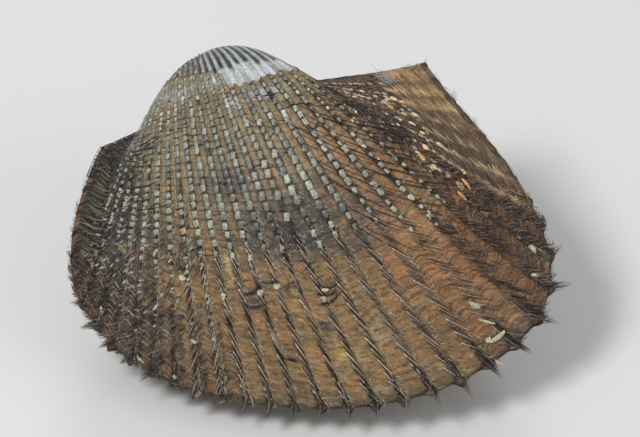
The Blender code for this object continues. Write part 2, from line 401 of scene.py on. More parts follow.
# The skin's colour over a valve: orange below, tan above, dark between, purple-brown behind, charcoal
# in front; each zone blends into the next over broken edges
def skinColour(rib, turn, seed):
    broken = noise(rib * 1.1, turn * 14.0, seed, 3) - 0.5
    fine = noise(rib * 3.1, turn * 44.0, seed + 1, 3) - 0.5
    ribTone = noise(np.floor(rib), turn * 2.0, seed + 2) - 0.5
    onRib = smooth(0.2, 0.8, ribProfile(rib, turn))

    def zone(name, place):
        return smooth(*zones[name], place)

    upper = zone("upper", turn + 0.35 * broken)
    lower = layered("orange", ("orangeDark", smooth(0.05, 0.4, fine + 0.4 * broken)),
                    ("yellow", smooth(0.12, 0.35, broken) * 0.6))
    tan = layered("tan", ("tanPale", smooth(-0.1, 0.3, fine)), ("rust", smooth(0.1, 0.35, broken) * 0.25))
    rust = zone("rust", rib) * zone("rustBack", rib) * (1.0 - 0.8 * upper)
    bright = zone("bright", rib) * zone("brightLow", turn) * zone("brightHigh", turn)
    golden = zone("goldenLow", turn + 0.2 * broken) * zone("goldenBack", rib)
    behind = layered("back", ("backPale", smooth(0.12, 0.4, fine) * 0.8), ("golden", golden * 0.7),
                     ("rust", smooth(0.1, 0.45, broken) * 0.5 * zone("backRust", rib)))
    inFront = zone("front", rib + 2.5 * broken) * zone("frontHigh", turn + 0.1 * (31.0 - rib) / 6.0)
    low = zone("frontLow", turn + 0.3 * broken) * zone("frontLowEnd", rib)
    front = layered("front", ("frontPale", smooth(0.05, 0.35, fine)), ("frontLow", low * 0.8))
    colour = layered(
        lower,
        (tan, upper),
        ("rust", np.clip(rust * (0.35 + 0.9 * broken), 0.0, 1.0)),
        (mix("brightTan", "brightRust", smooth(-0.15, 0.15, fine)), bright * (0.50 + 0.25 * ribTone)),
        (behind, zone("back", rib + 1.8 * broken) * zone("backHigh", turn)),
        ("ear", zone("ear", rib + broken) * zone("earLow", turn) * 0.9),
        (front, inFront),
    )
    for *mark, stain in patches:
        colour = mix(colour, stain, marks(rib, turn, [mark]) * smooth(-0.30, 0.02, fine + 0.5 * broken))
    dark = marks(rib, turn, darkMarks) * smooth(-0.42, 0.0, fine + 0.5 * broken)
    # Pale yellow marks on the ribs, one of them a painted highlight streak
    warm = marks(rib, turn, yellowAndHighlightMarks) * onRib * smooth(-0.35, 0.0, fine)
    colour = layered(
        colour,
        ("backRow", inBackRow(rib, turn, seed) * 0.85),
        ("corner", zone("corner", rib) * zone("cornerLow", turn) * 0.75),
        ("dark", np.clip(1.25 * dark, 0.0, 0.95)),
        ("spot", marks(rib, turn, spots)),
        ("bare", np.clip(1.2 * marks(rib, turn, paleMarks) * onRib, 0.0, 1.0)),
        ("warm", np.clip(warm, 0.0, 1.0)),
        ("web", zone("web", turn + 0.06 * broken) * 0.85),
    )
    return colour * (1.0 + 0.25 * ribTone)[..., None]


def rgba(colour):
    return (*linear(colour), 1.0)


# Sets a node's inputs by their names, and its other settings by theirs
def addNode(tree, kind, **values):
    node = tree.nodes.new(kind)
    for key, value in values.items():
        if key in node.inputs:
            node.inputs[key].default_value = value
        else:
            setattr(node, key, value)
    return node


# Links another node's output to a socket, or sets the socket to a plain value
def connect(tree, value, socket):
    if isinstance(value, bpy.types.NodeSocket):
        tree.links.new(value, socket)
    else:
        socket.default_value = value


def addMath(tree, operation, first, second=0.0):
    node = addNode(tree, "ShaderNodeMath", operation=operation)
    connect(tree, first, node.inputs[0])
    connect(tree, second, node.inputs[1])
    return node.outputs["Value"]


# A noise texture on a mapped input, with its scale along each axis
def addNoise(tree, source, scale, detail, roughness, distortion=0.0):
    mapping = addNode(tree, "ShaderNodeMapping", Scale=scale)
    texture = addNode(tree, "ShaderNodeTexNoise", Scale=1.0, Detail=detail, Roughness=roughness,
                      Distortion=distortion)
    tree.links.new(source, mapping.inputs["Vector"])
    tree.links.new(mapping.outputs["Vector"], texture.inputs["Vector"])
    return texture.outputs["Fac"]


# Carries a number from one range, its first two ends, to another
def addRange(tree, source, *ends):
    names = ("From Min", "From Max", "To Min", "To Max")
    node = addNode(tree, "ShaderNodeMapRange", **dict(zip(names, ends)))
    tree.links.new(source, node.inputs["Value"])
    return node.outputs["Result"]


def addMix(tree, kind, factor, first, second):
    node = addNode(tree, "ShaderNodeMix", data_type=kind)
    sockets = {"FLOAT": (2, 3), "RGBA": (6, 7)}[kind]
    for socket, value in zip((0, *sockets), (factor, first, second)):
        connect(tree, value, node.inputs[socket])
    return node.outputs[0 if kind == "FLOAT" else 2]


# Noise within a range lays a colour over the one under it
def addStain(tree, source, under, look):
    grain, window, colour = look
    share = addRange(tree, addNoise(tree, source, *grain), *window)
    return addMix(tree, "RGBA", share, under, rgba(colour))


def addShade(tree, colour, amount):
    shade = addNode(tree, "ShaderNodeVectorMath", operation="SCALE")
    tree.links.new(colour, shade.inputs[0])
    tree.links.new(amount, shade.inputs["Scale"])
    return shade.outputs["Vector"]


def startMaterial(name, roughness, coat=0.0):
    material = bpy.data.materials.new(name)
    material.use_nodes = True
    tree = material.node_tree
    shader = tree.nodes["Principled BSDF"]
    shader.inputs["Roughness"].default_value = roughness
    shader.inputs["Coat Weight"].default_value = coat
    shader.inputs["Coat Roughness"].default_value = 0.2
    return material, tree, shader


def finishMaterial(tree, shader, colour, height, strength, depth):
    bump = addNode(tree, "ShaderNodeBump", Strength=strength, Distance=depth)
    tree.links.new(colour, shader.inputs["Base Color"])
    tree.links.new(height, bump.inputs["Height"])
    tree.links.new(bump.outputs["Normal"], shader.inputs["Normal"])


# A noise is its scale across the ribs and up the turns, where the third number does nothing, then detail,
# roughness and distortion. A range is its two ends and what they become. A stain is a noise, its range and
# its colour.
skinLook = {
    "roughness": 0.55,
    "coat": 0.06,
    "across": ((1.1, 88.0, 1.0), 5.0, 0.70, 0.15),      # growth lines near the margin
    "along": ((13.0, 26.0, 1.0), 3.0, 0.65),            # streaks along the ribs farther up
    "alongFrom": (0.4, 0.8, 0.0, 0.55),
    "grain": ((3000.0, 3000.0, 3000.0), 3.0, 0.7),      # in object coordinates, along x, y and z
    "grainShare": 0.28,
    "shade": (0.37, 0.63, 0.30, 1.66),
    "warm": (((0.8, 17.0, 1.0), 3.0, 0.6, 0.5), (0.50, 0.66, 0.0, 0.45), (146, 96, 50)),
    "dull": (((1.1, 21.0, 1.0), 3.0, 0.6, 0.5), (0.52, 0.66, 0.0, 0.5), (98, 92, 62)),
    # the pale flecks are painted highlights, tiny glints scattered over the skin
    "glintFlecks": (((3.2, 74.0, 1.0), 4.0, 0.75, 0.9), (0.56, 0.68, 0.0, 0.5), (186, 170, 140)),
    "pits": (((3.0, 52.0, 1.0), 4.0, 0.75, 0.8), (0.44, 0.33, 0.0, 0.72), (48, 40, 33)),
    "line": (0.13, 0.03, 0.0, 1.0),                     # dark lines between growth rows
    "lineBreaks": (((0.9, 14.0, 1.0), 2.0, 0.6), (0.42, 0.56, 0.25, 1.0)),
    "lineColour": (34, 29, 25),
    "bump": (0.7, 0.00012),                             # strength, depth
}


# Skin: colour from its points, broken up by growth lines across the ribs near the margin, streaks along
# them farther up, a fine grain, scattered pale flecks that are painted glints, and dark pits. The tint's
# alpha says how strong the lines between growth rows are, and keeps the stains to the rest.
def skinMaterial(name):
    look = skinLook
    material, tree, shader = startMaterial(name, look["roughness"], look["coat"])
    painted = addNode(tree, "ShaderNodeAttribute", attribute_name="tint")
    tint, lineStrength = painted.outputs["Color"], painted.outputs["Alpha"]
    growth = addNode(tree, "ShaderNodeUVMap", uv_map="growth").outputs["UV"]
    place = addNode(tree, "ShaderNodeTexCoord").outputs["Object"]
    split = addNode(tree, "ShaderNodeSeparateXYZ")
    tree.links.new(growth, split.inputs["Vector"])
    turn = split.outputs["Y"]
    across, along = [addNoise(tree, growth, *look[key]) for key in ("across", "along")]
    lines = addMix(tree, "FLOAT", addRange(tree, turn, *look["alongFrom"]), across, along)
    broken = addMix(tree, "FLOAT", look["grainShare"], lines, addNoise(tree, place, *look["grain"]))
    stained = addStain(tree, growth, addStain(tree, growth, tint, look["warm"]), look["dull"])
    stained = addMix(tree, "RGBA", lineStrength, stained, tint)
    colour = addShade(tree, stained, addRange(tree, broken, *look["shade"]))
    # Pale flecks painted as highlights, then dark pits
    colour = addStain(tree, growth, addStain(tree, growth, colour, look["glintFlecks"]), look["pits"])
    row = addMath(tree, "SUBTRACT", turn, growthRows["first"])
    row = addMath(tree, "FRACT", addMath(tree, "DIVIDE", row, growthRows["pitch"]))
    row = addMath(tree, "ABSOLUTE", addMath(tree, "SUBTRACT", row, 0.5))
    breaks = addRange(tree, addNoise(tree, growth, *look["lineBreaks"][0]), *look["lineBreaks"][1])
    line = addMath(tree, "MULTIPLY", lineStrength, addRange(tree, row, *look["line"]))
    line = addMath(tree, "MULTIPLY", line, breaks)
    colour = addMix(tree, "RGBA", line, colour, rgba(look["lineColour"]))
    finishMaterial(tree, shader, colour, broken, *look["bump"])
    return material


# Points with their own colour, speckled between a low and a high shade: bare shell, beads, bristles, webs
def tintMaterial(name, roughness, coat, grain, bumpDepth, low=0.75, high=1.25):
    material, tree, shader = startMaterial(name, roughness, coat)
    tint = addNode(tree, "ShaderNodeAttribute", attribute_name="tint").outputs["Color"]
    place = addNode(tree, "ShaderNodeTexCoord").outputs["Object"]
    speckle = addNode(tree, "ShaderNodeTexNoise", Scale=grain, Detail=3.0)
    tree.links.new(place, speckle.inputs["Vector"])
    speckles = speckle.outputs["Fac"]
    colour = addShade(tree, tint, addRange(tree, speckles, 0.36, 0.64, low, high))
    finishMaterial(tree, shader, colour, speckles, 0.4, bumpDepth)
    return material


skinCover = skinMaterial("brownSkin")
bareShell = tintMaterial("bareShell", 0.50, 0.05, 3600.0, 0.00007, 0.72, 1.24)
beadGloss = tintMaterial("glossyBead", 0.45, 0.12, 4400.0, 0.0001, 0.58, 1.42)
bristleHorn = tintMaterial("bristleHorn", 0.42, 0.1, 3000.0, 0.00002)
webFilm = tintMaterial("webFilm", 0.75, 0.0, 2500.0, 0.00006, 0.5, 1.5)


# Section of a valve: ribs' columns round the margin, then the hinge line back to the start
def sectionColumns(facts):
    phases = np.arange(shell["ribs"] * facts["columnsPerRib"] + 1) / facts["columnsPerRib"]
    shares = shareAt(phases)
    x, y, slopeX, slopeY = marginAt(shares)
    back = np.linspace(0.0, 1.0, facts["hingeColumns"] + 2)[1:-1]
    flat = np.zeros(facts["hingeColumns"])
    hingeLine = x[0] - x[-1]
    return {
        "rib": np.concatenate([phases, shell["ribs"] + back]),
        "share": np.concatenate([shares, 1.0 + flat]),
        "x": np.concatenate([x, x[-1] + hingeLine * back]),
        "y": np.concatenate([y, flat]),
        "slopeX": np.concatenate([slopeX, flat + hingeLine]),
        "slopeY": np.concatenate([slopeY, flat]),
        "onHinge": np.concatenate([np.zeros(len(x)), flat + 1.0]),
    }


# Points and outward normals of the section at each turn
def sectionSurface(section, turn, growth=shell["growth"]):
    keys = ("x", "y", "slopeX", "slopeY")
    point, bySection, byTurn = spiral(*[section[k][None, :] for k in keys], turn, growth)
    return point, unit(np.cross(byTurn, bySection))


# The skin: rows from the margin to the worn edge, raised over the valve by ribs, roughness and ledges at
# the growth rows, then a plain underside back to the margin, where the two close
def addSkin(hand, seed):
    section = sectionColumns(skin)
    ribs, columns, rows = section["rib"], len(section["rib"]), skin["rows"]
    edge = wornEdge(ribs)
    edge = np.where(section["onHinge"] > 0, edge[-1] + (edge[0] - edge[-1]) * (ribs - shell["ribs"]), edge)
    rib, onHinge, offHinge = ribs[None, :], section["onHinge"][None, :], 1.0 - section["onHinge"][None, :]
    step = np.linspace(0.0, 1.0, rows)[:, None] ** skin["rowCrowding"]
    turn = step * edge[None, :]
    point, normal = sectionSurface(section, turn)
    relief = ribProfile(rib, turn) * ribStrength(section["share"])[None, :] * offHinge
    rough = noise(rib * 2.2, turn * 30.0, seed + 9, 3) - 0.5
    rowTurn = turn - rowDrift(rib, turn, seed)
    rowPhase = ((rowTurn - growthRows["first"]) / growthRows["pitch"] + 0.5) % 1.0
    lowest = 0.42 - 0.26 * smooth(22.0, 26.0, rib)
    stepped = smooth(lowest, lowest + 0.26, turn) * smooth(*skin["ledgeEnd"], turn) * offHinge
    patchy = smooth(0.3, 0.6, noise(rib * 0.9, turn * 14.0, seed + 3))
    ledges = skin["ledges"] * stepped * (1.0 - rowPhase) * patchy
    height = shell["ribHeight"] * shrinkAt(turn) * (relief + (skin["roughness"] * rough) * offHinge + ledges)
    lip = smooth(0.97, 1.0, step) * skin["lip"]
    outer = point + normal * (height + lip + skin["lift"])[..., None]
    furrow = 1.0 - ribProfile(rib, turn)
    # Painted shade: the skin darkens in its furrows, more so among the beads
    colour = layered(skinColour(rib, turn, seed),
                     ("furrow", furrow * (0.45 + 0.42 * smooth(0.40, 0.60, turn))),
                     ("horn", np.broadcast_to(onHinge, turn.shape)))
    backTurn = np.linspace(1.0, 0.0, skin["backing"])[:, None] * edge[None, :]
    backPoint, backNormal = sectionSurface(section, backTurn)
    inner = backPoint - backNormal * skin["thickness"]
    points = np.concatenate([outer.reshape(-1, 3), inner.reshape(-1, 3)])
    allRows = rows + skin["backing"]
    first = np.arange(columns)
    following = (first + 1) % columns
    last = (allRows - 1) * columns
    close = np.stack([first, following, last + following, last + first], -1)
    arch = (2.0 * (ribs - np.floor(ribs)) - 1.0)[None, :] ** 2 * smooth(0.7, 0.4, turn)
    arch = arch * atKnots(skin["arch"], ribs)[None, :]
    uvTurn = np.concatenate([rowTurn + arch, backTurn - rowDrift(rib, backTurn, seed)])
    uv = np.stack([np.broadcast_to(rib, uvTurn.shape), uvTurn], -1).reshape(-1, 2)
    lineStrength = stepped * (0.45 + 0.45 * smooth(14.0, 18.0, ribs) + 0.2 * smooth(9.0, 7.0, ribs))[None, :]
    painted = np.concatenate([colour, lineStrength[..., None]], -1).reshape(-1, 4)
    lining = np.tile(np.append(linear("horn"), 0.0), (inner.size // 3, 1))
    addHanded(hand, "Skin", points, [ringFaces(allRows, columns, flip=True), close], skinCover,
              np.concatenate([painted, lining]), uv)


valve = {
    "columnsPerRib": 10,
    "hingeColumns": 26,
    "wall": 0.0013,
    "hingePlate": 0.0032,
    "innerGrowth": 0.87,
    "innerTurn": 2.0,
    "coveredTurn": 1.24,         # the skin hides everything nearer the margin
    "sunk": (0.00022, 0.00004),  # under the skin, and where it is bare
    "shadedTopFrom": (1.52, 1.57),   # turns where the streaked part begins
    "crustFrom": (17.6, 23.0),   # and ribs, for the crust
    # The grey laid over the bare shell from the turn where the streaked part begins up to the beak is painted
    # shade
    "streaked": (128, 130, 126), "shadedTop": (150, 153, 152), "shadedTopStreak": (96, 94, 88),
    "worn": (104, 104, 94), "groove": (16, 17, 19), "crust": (104, 88, 64), "crustDark": (56, 48, 40),
    "hinge": (60, 50, 42), "lining": (205, 200, 190), "beak": (120, 110, 100),
}


# The white valve under the skin: outside from margin to beak, and the hollow's lining from the margin
# to its deep end, joined across the rim and each closed with a fan
def addValve(hand, seed):
    section = sectionColumns(valve)
    rib, columns = section["rib"][None, :], len(section["rib"])
    onHinge, offHinge = section["onHinge"][None, :], 1.0 - section["onHinge"][None, :]
    bareTurn = valve["coveredTurn"] + 0.02
    turns = np.concatenate([np.linspace(valve["coveredTurn"], 0.0, 14, endpoint=False)[::-1],
                            np.linspace(bareTurn, 3.0, 90), np.linspace(3.05, shell["beakTurn"], 14)])
    turns[0] = 0.0
    turn = turns[:, None] + 0.0 * rib
    point, normal = sectionSurface(section, turn)
    relief = ribProfile(rib, turn) * ribStrength(section["share"])[None, :] * offHinge
    sunk = np.where(turn < bareTurn - 0.01, *valve["sunk"]) * smooth(4.1, 3.9, turn)
    outer = point + normal * (shell["ribHeight"] * shrinkAt(turn) * relief - sunk)[..., None]
    shadedTop = smooth(*valve["shadedTopFrom"], turn + 0.09 * (noise(rib * 1.3, turn * 4.0, seed) - 0.5))
    inFurrow = smooth(0.80, 0.30, ribProfile(rib, turn)) * offHinge
    streak = noise(rib * 3.0, turn * 7.0, seed + 1, 3)
    dash = noise(rib * 1.0, turn * 15.0, seed + 2, 2)
    dark = smooth(0.50, 0.36, noise(rib * 1.6, turn * 22.0, seed + 3))
    groove = smooth(0.32, 0.20, np.abs(rib - np.round(rib))) * offHinge
    groove = groove * (0.72 + 0.28 * smooth(0.42, 0.52, noise(rib * 6.0, turn * 40.0, seed + 4, 2)))
    crusted = smooth(*valve["crustFrom"], rib) * offHinge
    colour = layered(
        "bare",
        (valve["streaked"], smooth(0.45, 0.75, streak) * 0.8),
        # Painted shade: the bare shell greyed from the streaked part up to the beak, with darker streaks in
        # it
        (valve["shadedTop"], shadedTop * 0.8),
        (valve["shadedTopStreak"], shadedTop * smooth(0.50, 0.68, streak) * 0.5),
        (valve["worn"], inFurrow * (0.15 + 0.35 * smooth(0.48, 0.60, dash)) * (1.0 - shadedTop)),
        (valve["groove"], np.clip(groove * shadedTop * (0.95 + 0.5 * dash), 0.0, 0.98)),
        (valve["crust"], crusted * smooth(0.40, 0.56, dash) * 0.8),
        (valve["crustDark"], crusted * dark),
        (valve["hinge"], onHinge * 0.9 + 0.0 * turn),
    )
    lining = dict(section)
    tangent = unit(np.stack([section["slopeX"], section["slopeY"]], -1))
    lining["x"] = section["x"] + tangent[:, 1] * valve["wall"]
    lining["y"] = np.minimum(section["y"] - tangent[:, 0] * valve["wall"], -valve["hingePlate"])
    innerTurn = np.linspace(0.0, valve["innerTurn"], 12)[:, None] + 0.0 * rib
    inner = sectionSurface(lining, innerTurn, valve["innerGrowth"])[0]
    centres = [outer[-1].mean(axis=0), inner[-1].mean(axis=0)]
    points = np.concatenate([outer[::-1].reshape(-1, 3), inner.reshape(-1, 3), centres])
    rows = len(turns) + len(innerTurn)
    count = rows * columns
    faces = [ringFaces(rows, columns), fan(0, columns, count, True),
             fan(count - columns, columns, count + 1, False)]
    lined, ends = linear(valve["lining"]), [linear(valve["beak"]), linear(valve["lining"])]
    tint = np.concatenate([colour[::-1].reshape(-1, 3), np.tile(lined, (inner.size // 3, 1)), ends])
    piece = addHanded(hand, "Valve", points, faces, bareShell, tint)
    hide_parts(hand["node"])


pads = {
    "rings": ((0.78, 0.96), (0.96, 0.72), (1.0, 0.05)),      # radius and height of each
    "top": 1.0,
    "bottom": -0.35,
    "seat": 0.9,                 # share of the ribs' height at which a pad sits
    # the dark colour round each pad's foot is painted shade, fading out up the dome
    "footShade": (38, 33, 29),
}


# Pads: a dome over a superellipse and a shallow underside, as rings of points round the upright axis; a
# power of 2 makes it oval and more makes it squarish, and bow bends it into an arch
def padShape(segments, power, bow):
    angle = tau * np.arange(segments) / segments
    corner = (np.abs(np.cos(angle)) ** power + np.abs(np.sin(angle)) ** power) ** (-1.0 / power)
    shape = [np.stack([r * corner * np.cos(angle), r * corner * np.sin(angle), np.full(segments, z)], -1)
             for r, z in pads["rings"]]
    shape = np.concatenate([*shape, [[0.0, 0.0, pads["top"]], [0.0, 0.0, pads["bottom"]]]])
    shape[:, 1] -= bow * (shape[:, 0] ** 2 - 0.4)
    rings = len(pads["rings"])
    count = rings * segments
    faces = [ringFaces(rings, segments, flip=True), fan(0, segments, count, False),
             fan(count - segments, segments, count + 1, True)]
    return shape, faces


# The faces of one shape, for many copies numbered after one another
def copiedFaces(faces, count, size):
    offset = np.arange(count)[:, None, None] * size
    return [(f[None] + offset).reshape(-1, f.shape[1]) for f in faces]


# Pads laid on the skin at their ribs and turns: half sizes in ribs and turns, skew in radians, height in
# metres, a colour for each; the last argument is the share of that colour in the painted shade round the
# pad's foot, and it grows up the dome
def addPads(hand, name, rib, turn, halfRib, halfTurn, skew, height, colour, segments, power, bow, footShade):
    share = shareAt(rib)
    point, normal, bySection, byTurn = onValve(share, turn)
    spacing = np.linalg.norm(bySection, axis=-1) * np.abs(shareAt(rib + 0.5) - shareAt(rib - 0.5))
    across = unit(bySection) * np.cos(skew)[:, None] + unit(byTurn) * np.sin(skew)[:, None]
    ridge = shell["ribHeight"] * shrinkAt(turn) * ribProfile(rib, turn) * ribStrength(share)
    centre = point + normal * (pads["seat"] * ridge)[:, None]
    axes = (across * (halfRib * spacing)[:, None],
            unit(np.cross(normal, across)) * (halfTurn * np.linalg.norm(byTurn, axis=-1))[:, None],
            normal * height[:, None])
    shape, faces = padShape(segments, power, bow)
    points = centre[:, None, :]
    for column, axis in enumerate(axes):
        points = points + shape[None, :, column:column + 1] * axis[:, None, :]
    dome = np.tile(smooth(0.05, 0.72, shape[:, 2]), len(rib))
    # Painted shade: each pad darkest at its foot, its own colour towards the top of the dome
    tint = mix(pads["footShade"], np.repeat(colour, len(shape), axis=0), footShade + (1.0 - footShade) * dome)
    faces = copiedFaces(faces, len(rib), len(shape))
    addHanded(hand, name, points.reshape(-1, 3), faces, beadGloss, tint)


beads = {
    # knots of rib and value: the turn where the beads begin, and their half width in ribs
    "start": ((0, 0.32), (8, 0.32), (9, 0.36), (12, 0.40), (13, 0.5), (19, 0.50), (22, 0.46), (23, 0.44),
              (25, 0.40), (28, 0.40), (31, 0.44), (33, 0.85), (37, 1.1)),
    "width": ((0, 0.15), (8, 0.14), (9.5, 0.13), (12, 0.15), (15, 0.20), (19, 0.225), (27, 0.24), (37, 0.25)),
    "behind": (10.5, 8.5),       # ribs from none to all: flakes, loose beads, and slanting ones
    "loose": (14.0, 11.0),
    "slanted": (21.5, 24.0),
    "skipped": 0.03,
    "height": 0.00040,
    "leastHeight": 0.00008,
    "grey": (96, 100, 96), "paleGrey": (154, 156, 142), "glint": (180, 180, 164), "tan": (120, 110, 80),
    "looseDark": (112, 110, 94), "loosePale": (196, 190, 162), "low": (160, 162, 142), "inBand": (60, 62, 60),
    "slantDark": (72, 74, 70), "slantPale": (166, 168, 146), "slantTan": (148, 112, 70),
    "flakeDark": (112, 88, 70), "flakePale": (206, 182, 152), "flakeRust": (170, 112, 62),
}


# Beads: squarish pads that fill the furrows above the ropes, their rows in step from furrow to furrow;
# behind they turn into flakes, from rib 14 back they loosen, and on the front ribs they slant
def addBeads(hand, seed, rowSeed):
    pick = np.random.default_rng(seed)
    furrow = np.arange(1, shell["ribs"])
    steps = growthRows["first"] + np.arange(60) * growthRows["pitch"]
    turn = steps[None, :] + rowDrift(furrow[:, None], steps[None, :], rowSeed)
    uneven = 0.003 + 0.004 * smooth(*beads["loose"], furrow)
    turn = turn + uneven[:, None] * pick.standard_normal(turn.shape)
    keep = turn < wornEdge(furrow.astype(float))[:, None] - 0.02
    keep &= turn > atKnots(beads["start"], furrow)[:, None]
    keep &= pick.random(turn.shape) > beads["skipped"]
    rib = np.broadcast_to(furrow[:, None], turn.shape)[keep] + 0.02 * pick.standard_normal(keep.sum())
    turn = turn[keep]
    count = len(rib)
    behind, loose = smooth(*beads["behind"], rib), smooth(*beads["loose"], rib)
    slanted = smooth(*beads["slanted"], rib) * smooth(1.0, 0.8, turn)
    small = np.maximum(smooth(0.0, 0.22, turn - atKnots(beads["start"], rib)), behind)
    size = (0.62 + 0.38 * small) * (0.9 - 0.25 * loose + (0.18 + 0.4 * loose) * pick.random(count))
    halfRib = atKnots(beads["width"], rib) * size
    halfTurn = growthRows["pitch"] * (0.49 - 0.12 * behind - 0.15 * loose - 0.13 * slanted) * size
    skew = (0.10 + 0.14 * slanted) * pick.standard_normal(count) - 0.7 * behind - 0.45 * slanted
    height = beads["height"] * shrinkAt(turn) + beads["leastHeight"]
    height = height * (0.8 + 0.4 * pick.random(count)) * (1.0 - 0.5 * behind)
    tone = pick.random(count)
    dusty = smooth(0.62, 0.80, noise(rib * 5.0, turn * 60.0, seed, 2))
    colour = layered(
        mix(beads["grey"], beads["paleGrey"], tone),
        (beads["glint"], smooth(0.92, 1.0, pick.random(count))),
        (mix(beads["looseDark"], beads["loosePale"], tone), loose),
        (mix(beads["slantDark"], beads["slantPale"], tone), slanted),
        (beads["tan"], smooth(0.5, 1.0, pick.random(count)) * 0.8),
        (beads["slantTan"], slanted * dusty),
        (beads["low"], smooth(0.80, 0.65, turn) * (0.2 + 0.6 * pick.random(count))),
        (beads["inBand"], marks(rib, turn, darkMarks[:5]) * smooth(0.75, 0.45, pick.random(count))),
    )
    flake = layered(mix(beads["flakeDark"], beads["flakePale"], pick.random(count) ** 1.5),
                    (beads["flakeRust"], (pick.random(count) < 0.18) * 0.8))
    colour = mix(colour, flake, behind * smooth(1.25, 1.0, turn))
    addPads(hand, "Beads", rib, turn, halfRib, halfTurn, skew, height, colour, 8, 9.0, 0.0, 0.15)


# Smaller pads in their own rows: loose flakes and crumbs behind, slivers, slanting leaves and scales on the
# front ribs, the darker scales laid as painted shadow, crust near the beak, and glints near the margin. Ribs
# are a range, or a list of three or more; half and scatter are in ribs and turns, and skew is its middle and
# scatter in radians.
scales = {
    "Flakes": {"ribs": (1.5, 10.4), "turns": (0.34, 1.0), "pitch": 0.034, "onRib": 0.5,
               "half": (0.12, 0.0060), "scatter": (0.30, 0.012), "skew": (-1.05, 0.3), "height": 0.00024,
               "kept": 0.74, "power": 2.2, "bow": 0.0, "dull": (88, 70, 60), "bright": (222, 200, 172),
               "odd": (132, 98, 78)},
    "Crumbs": {"ribs": (2.6, 3.8, 5.0, 6.2, 7.4, 8.5), "turns": (0.26, 0.52), "pitch": 0.046, "onRib": 0.0,
               "half": (0.17, 0.013), "scatter": (0.06, 0.010), "skew": (-0.75, 0.3), "height": 0.00026,
               "kept": 0.62, "power": 2.0, "bow": 0.1, "dull": (150, 124, 90), "bright": (226, 204, 160),
               "odd": (170, 130, 88)},
    "Slivers": {"ribs": (8.6, 11.4), "turns": (0.02, 0.40), "pitch": 0.055, "onRib": -0.1,
                "half": (0.07, 0.014), "scatter": (0.08, 0.012), "skew": (-0.35, 0.2), "height": 0.00026,
                "kept": 0.30, "power": 1.8, "bow": 0.0, "dull": (112, 108, 96), "bright": (214, 208, 166),
                "odd": (98, 92, 92)},
    "Leaves": {"ribs": (22.8, 31.5), "turns": (0.15, 0.47), "pitch": 0.025, "onRib": 0.0,
               "half": (0.28, 0.0058), "scatter": (0.05, 0.005), "skew": (-0.75, 0.3), "height": 0.00034,
               "kept": 0.88, "power": 1.7, "bow": 0.3, "dull": (66, 65, 63), "bright": (184, 178, 158),
               "odd": (132, 100, 66)},
    # Slanting tan and orange scales on the front ribs; the dark ones, most of them, are painted shadow beside
    # the scales
    "ScalesAndShadows": {"ribs": (22.8, 31.6), "turns": (0.16, 0.72), "pitch": 0.030, "onRib": 0.56,
               "half": (0.25, 0.0064), "scatter": (0.05, 0.004), "skew": (-0.80, 0.2), "height": 0.00030,
               "kept": 0.75, "power": 1.6, "bow": 0.2, "dull": (50, 46, 42), "bright": (128, 104, 78),
               "odd": (150, 150, 136)},
    "Crust": {"ribs": (18.2, 29.0), "turns": (1.44, 2.30), "pitch": 0.058, "onRib": 0.5,
              "half": (0.20, 0.022), "scatter": (0.06, 0.012), "skew": (0.0, 0.25), "height": 0.00012,
              "kept": 0.62, "power": 3.0, "bow": 0.0, "dull": (74, 70, 60), "bright": (186, 184, 170),
              "odd": (122, 102, 74)},
    "Glints": {"ribs": (9.0, 25.5), "turns": (0.0, 0.06), "pitch": 0.013, "onRib": 0.5, "half": (0.10, 0.003),
               "scatter": (0.30, 0.004), "skew": (0.2, 0.5), "height": 0.00008, "kept": 0.22, "power": 2.4,
               "bow": 0.3, "dull": (140, 128, 104), "bright": (206, 198, 176), "odd": (120, 88, 58)},
}


# Every rib of a list with every turn of another
def everyPlace(ribs, turns):
    return [grid.ravel() for grid in np.meshgrid(ribs, turns, indexing="ij")]


def addScales(hand, kind, seed):
    pick = np.random.default_rng(seed)
    facts = scales[kind]
    low, high = facts["ribs"][:2]
    first, last = facts["turns"]
    row = np.arange(first + 0.5 * facts["pitch"], last, facts["pitch"])
    column = np.arange(math.ceil(low), math.floor(high) + 1) if len(facts["ribs"]) == 2 else facts["ribs"]
    rib, turn = everyPlace(np.array(column) + facts["onRib"], row)
    kept = (pick.random(len(rib)) < facts["kept"]) & (rib < shell["ribs"] - 0.5)
    rib, turn = rib[kept], turn[kept]
    count = len(rib)
    rib = rib + facts["scatter"][0] * pick.standard_normal(count)
    turn = np.maximum(turn + facts["scatter"][1] * pick.standard_normal(count), 0.004)
    size = 0.75 + 0.5 * pick.random(count)
    skew = facts["skew"][0] + facts["skew"][1] * pick.standard_normal(count)
    colour = layered(mix(facts["dull"], facts["bright"], pick.random(count) ** 1.6),
                     (facts["odd"], (pick.random(count) < 0.22) * 0.8))
    height = facts["height"] * np.exp(-0.5 * turn) * size
    addPads(hand, kind, rib, turn, facts["half"][0] * size, facts["half"][1] * size, skew, height, colour, 10,
            facts["power"], facts["bow"], 0.3)


# Bristles: three-sided tapered tubes along paths of points, closed at the root and drawn to a tip
def bristleMesh(paths, outward, radius):
    count, steps = paths.shape[:2]
    tangent = unit(np.gradient(paths, axis=1))
    across = unit(np.cross(tangent, outward))
    up = np.cross(across, tangent)
    angle = tau * np.arange(3) / 3.0 + math.pi / 2.0
    ring = across[:, :-1, None, :] * np.cos(angle)[:, None] + up[:, :-1, None, :] * np.sin(angle)[:, None]
    rings = paths[:, :-1, None, :] + ring * radius[:, :-1, None, None]
    body = np.concatenate([rings.reshape(count, -1, 3), paths[:, -1:, :]], axis=1)
    size = body.shape[1]
    band, tip, root = ringFaces(steps - 1, 3, flip=True), fan((steps - 2) * 3, 3, size - 1, True), [[0, 1, 2]]
    return body.reshape(-1, 3), copiedFaces((band, tip, np.array(root)), count, size)


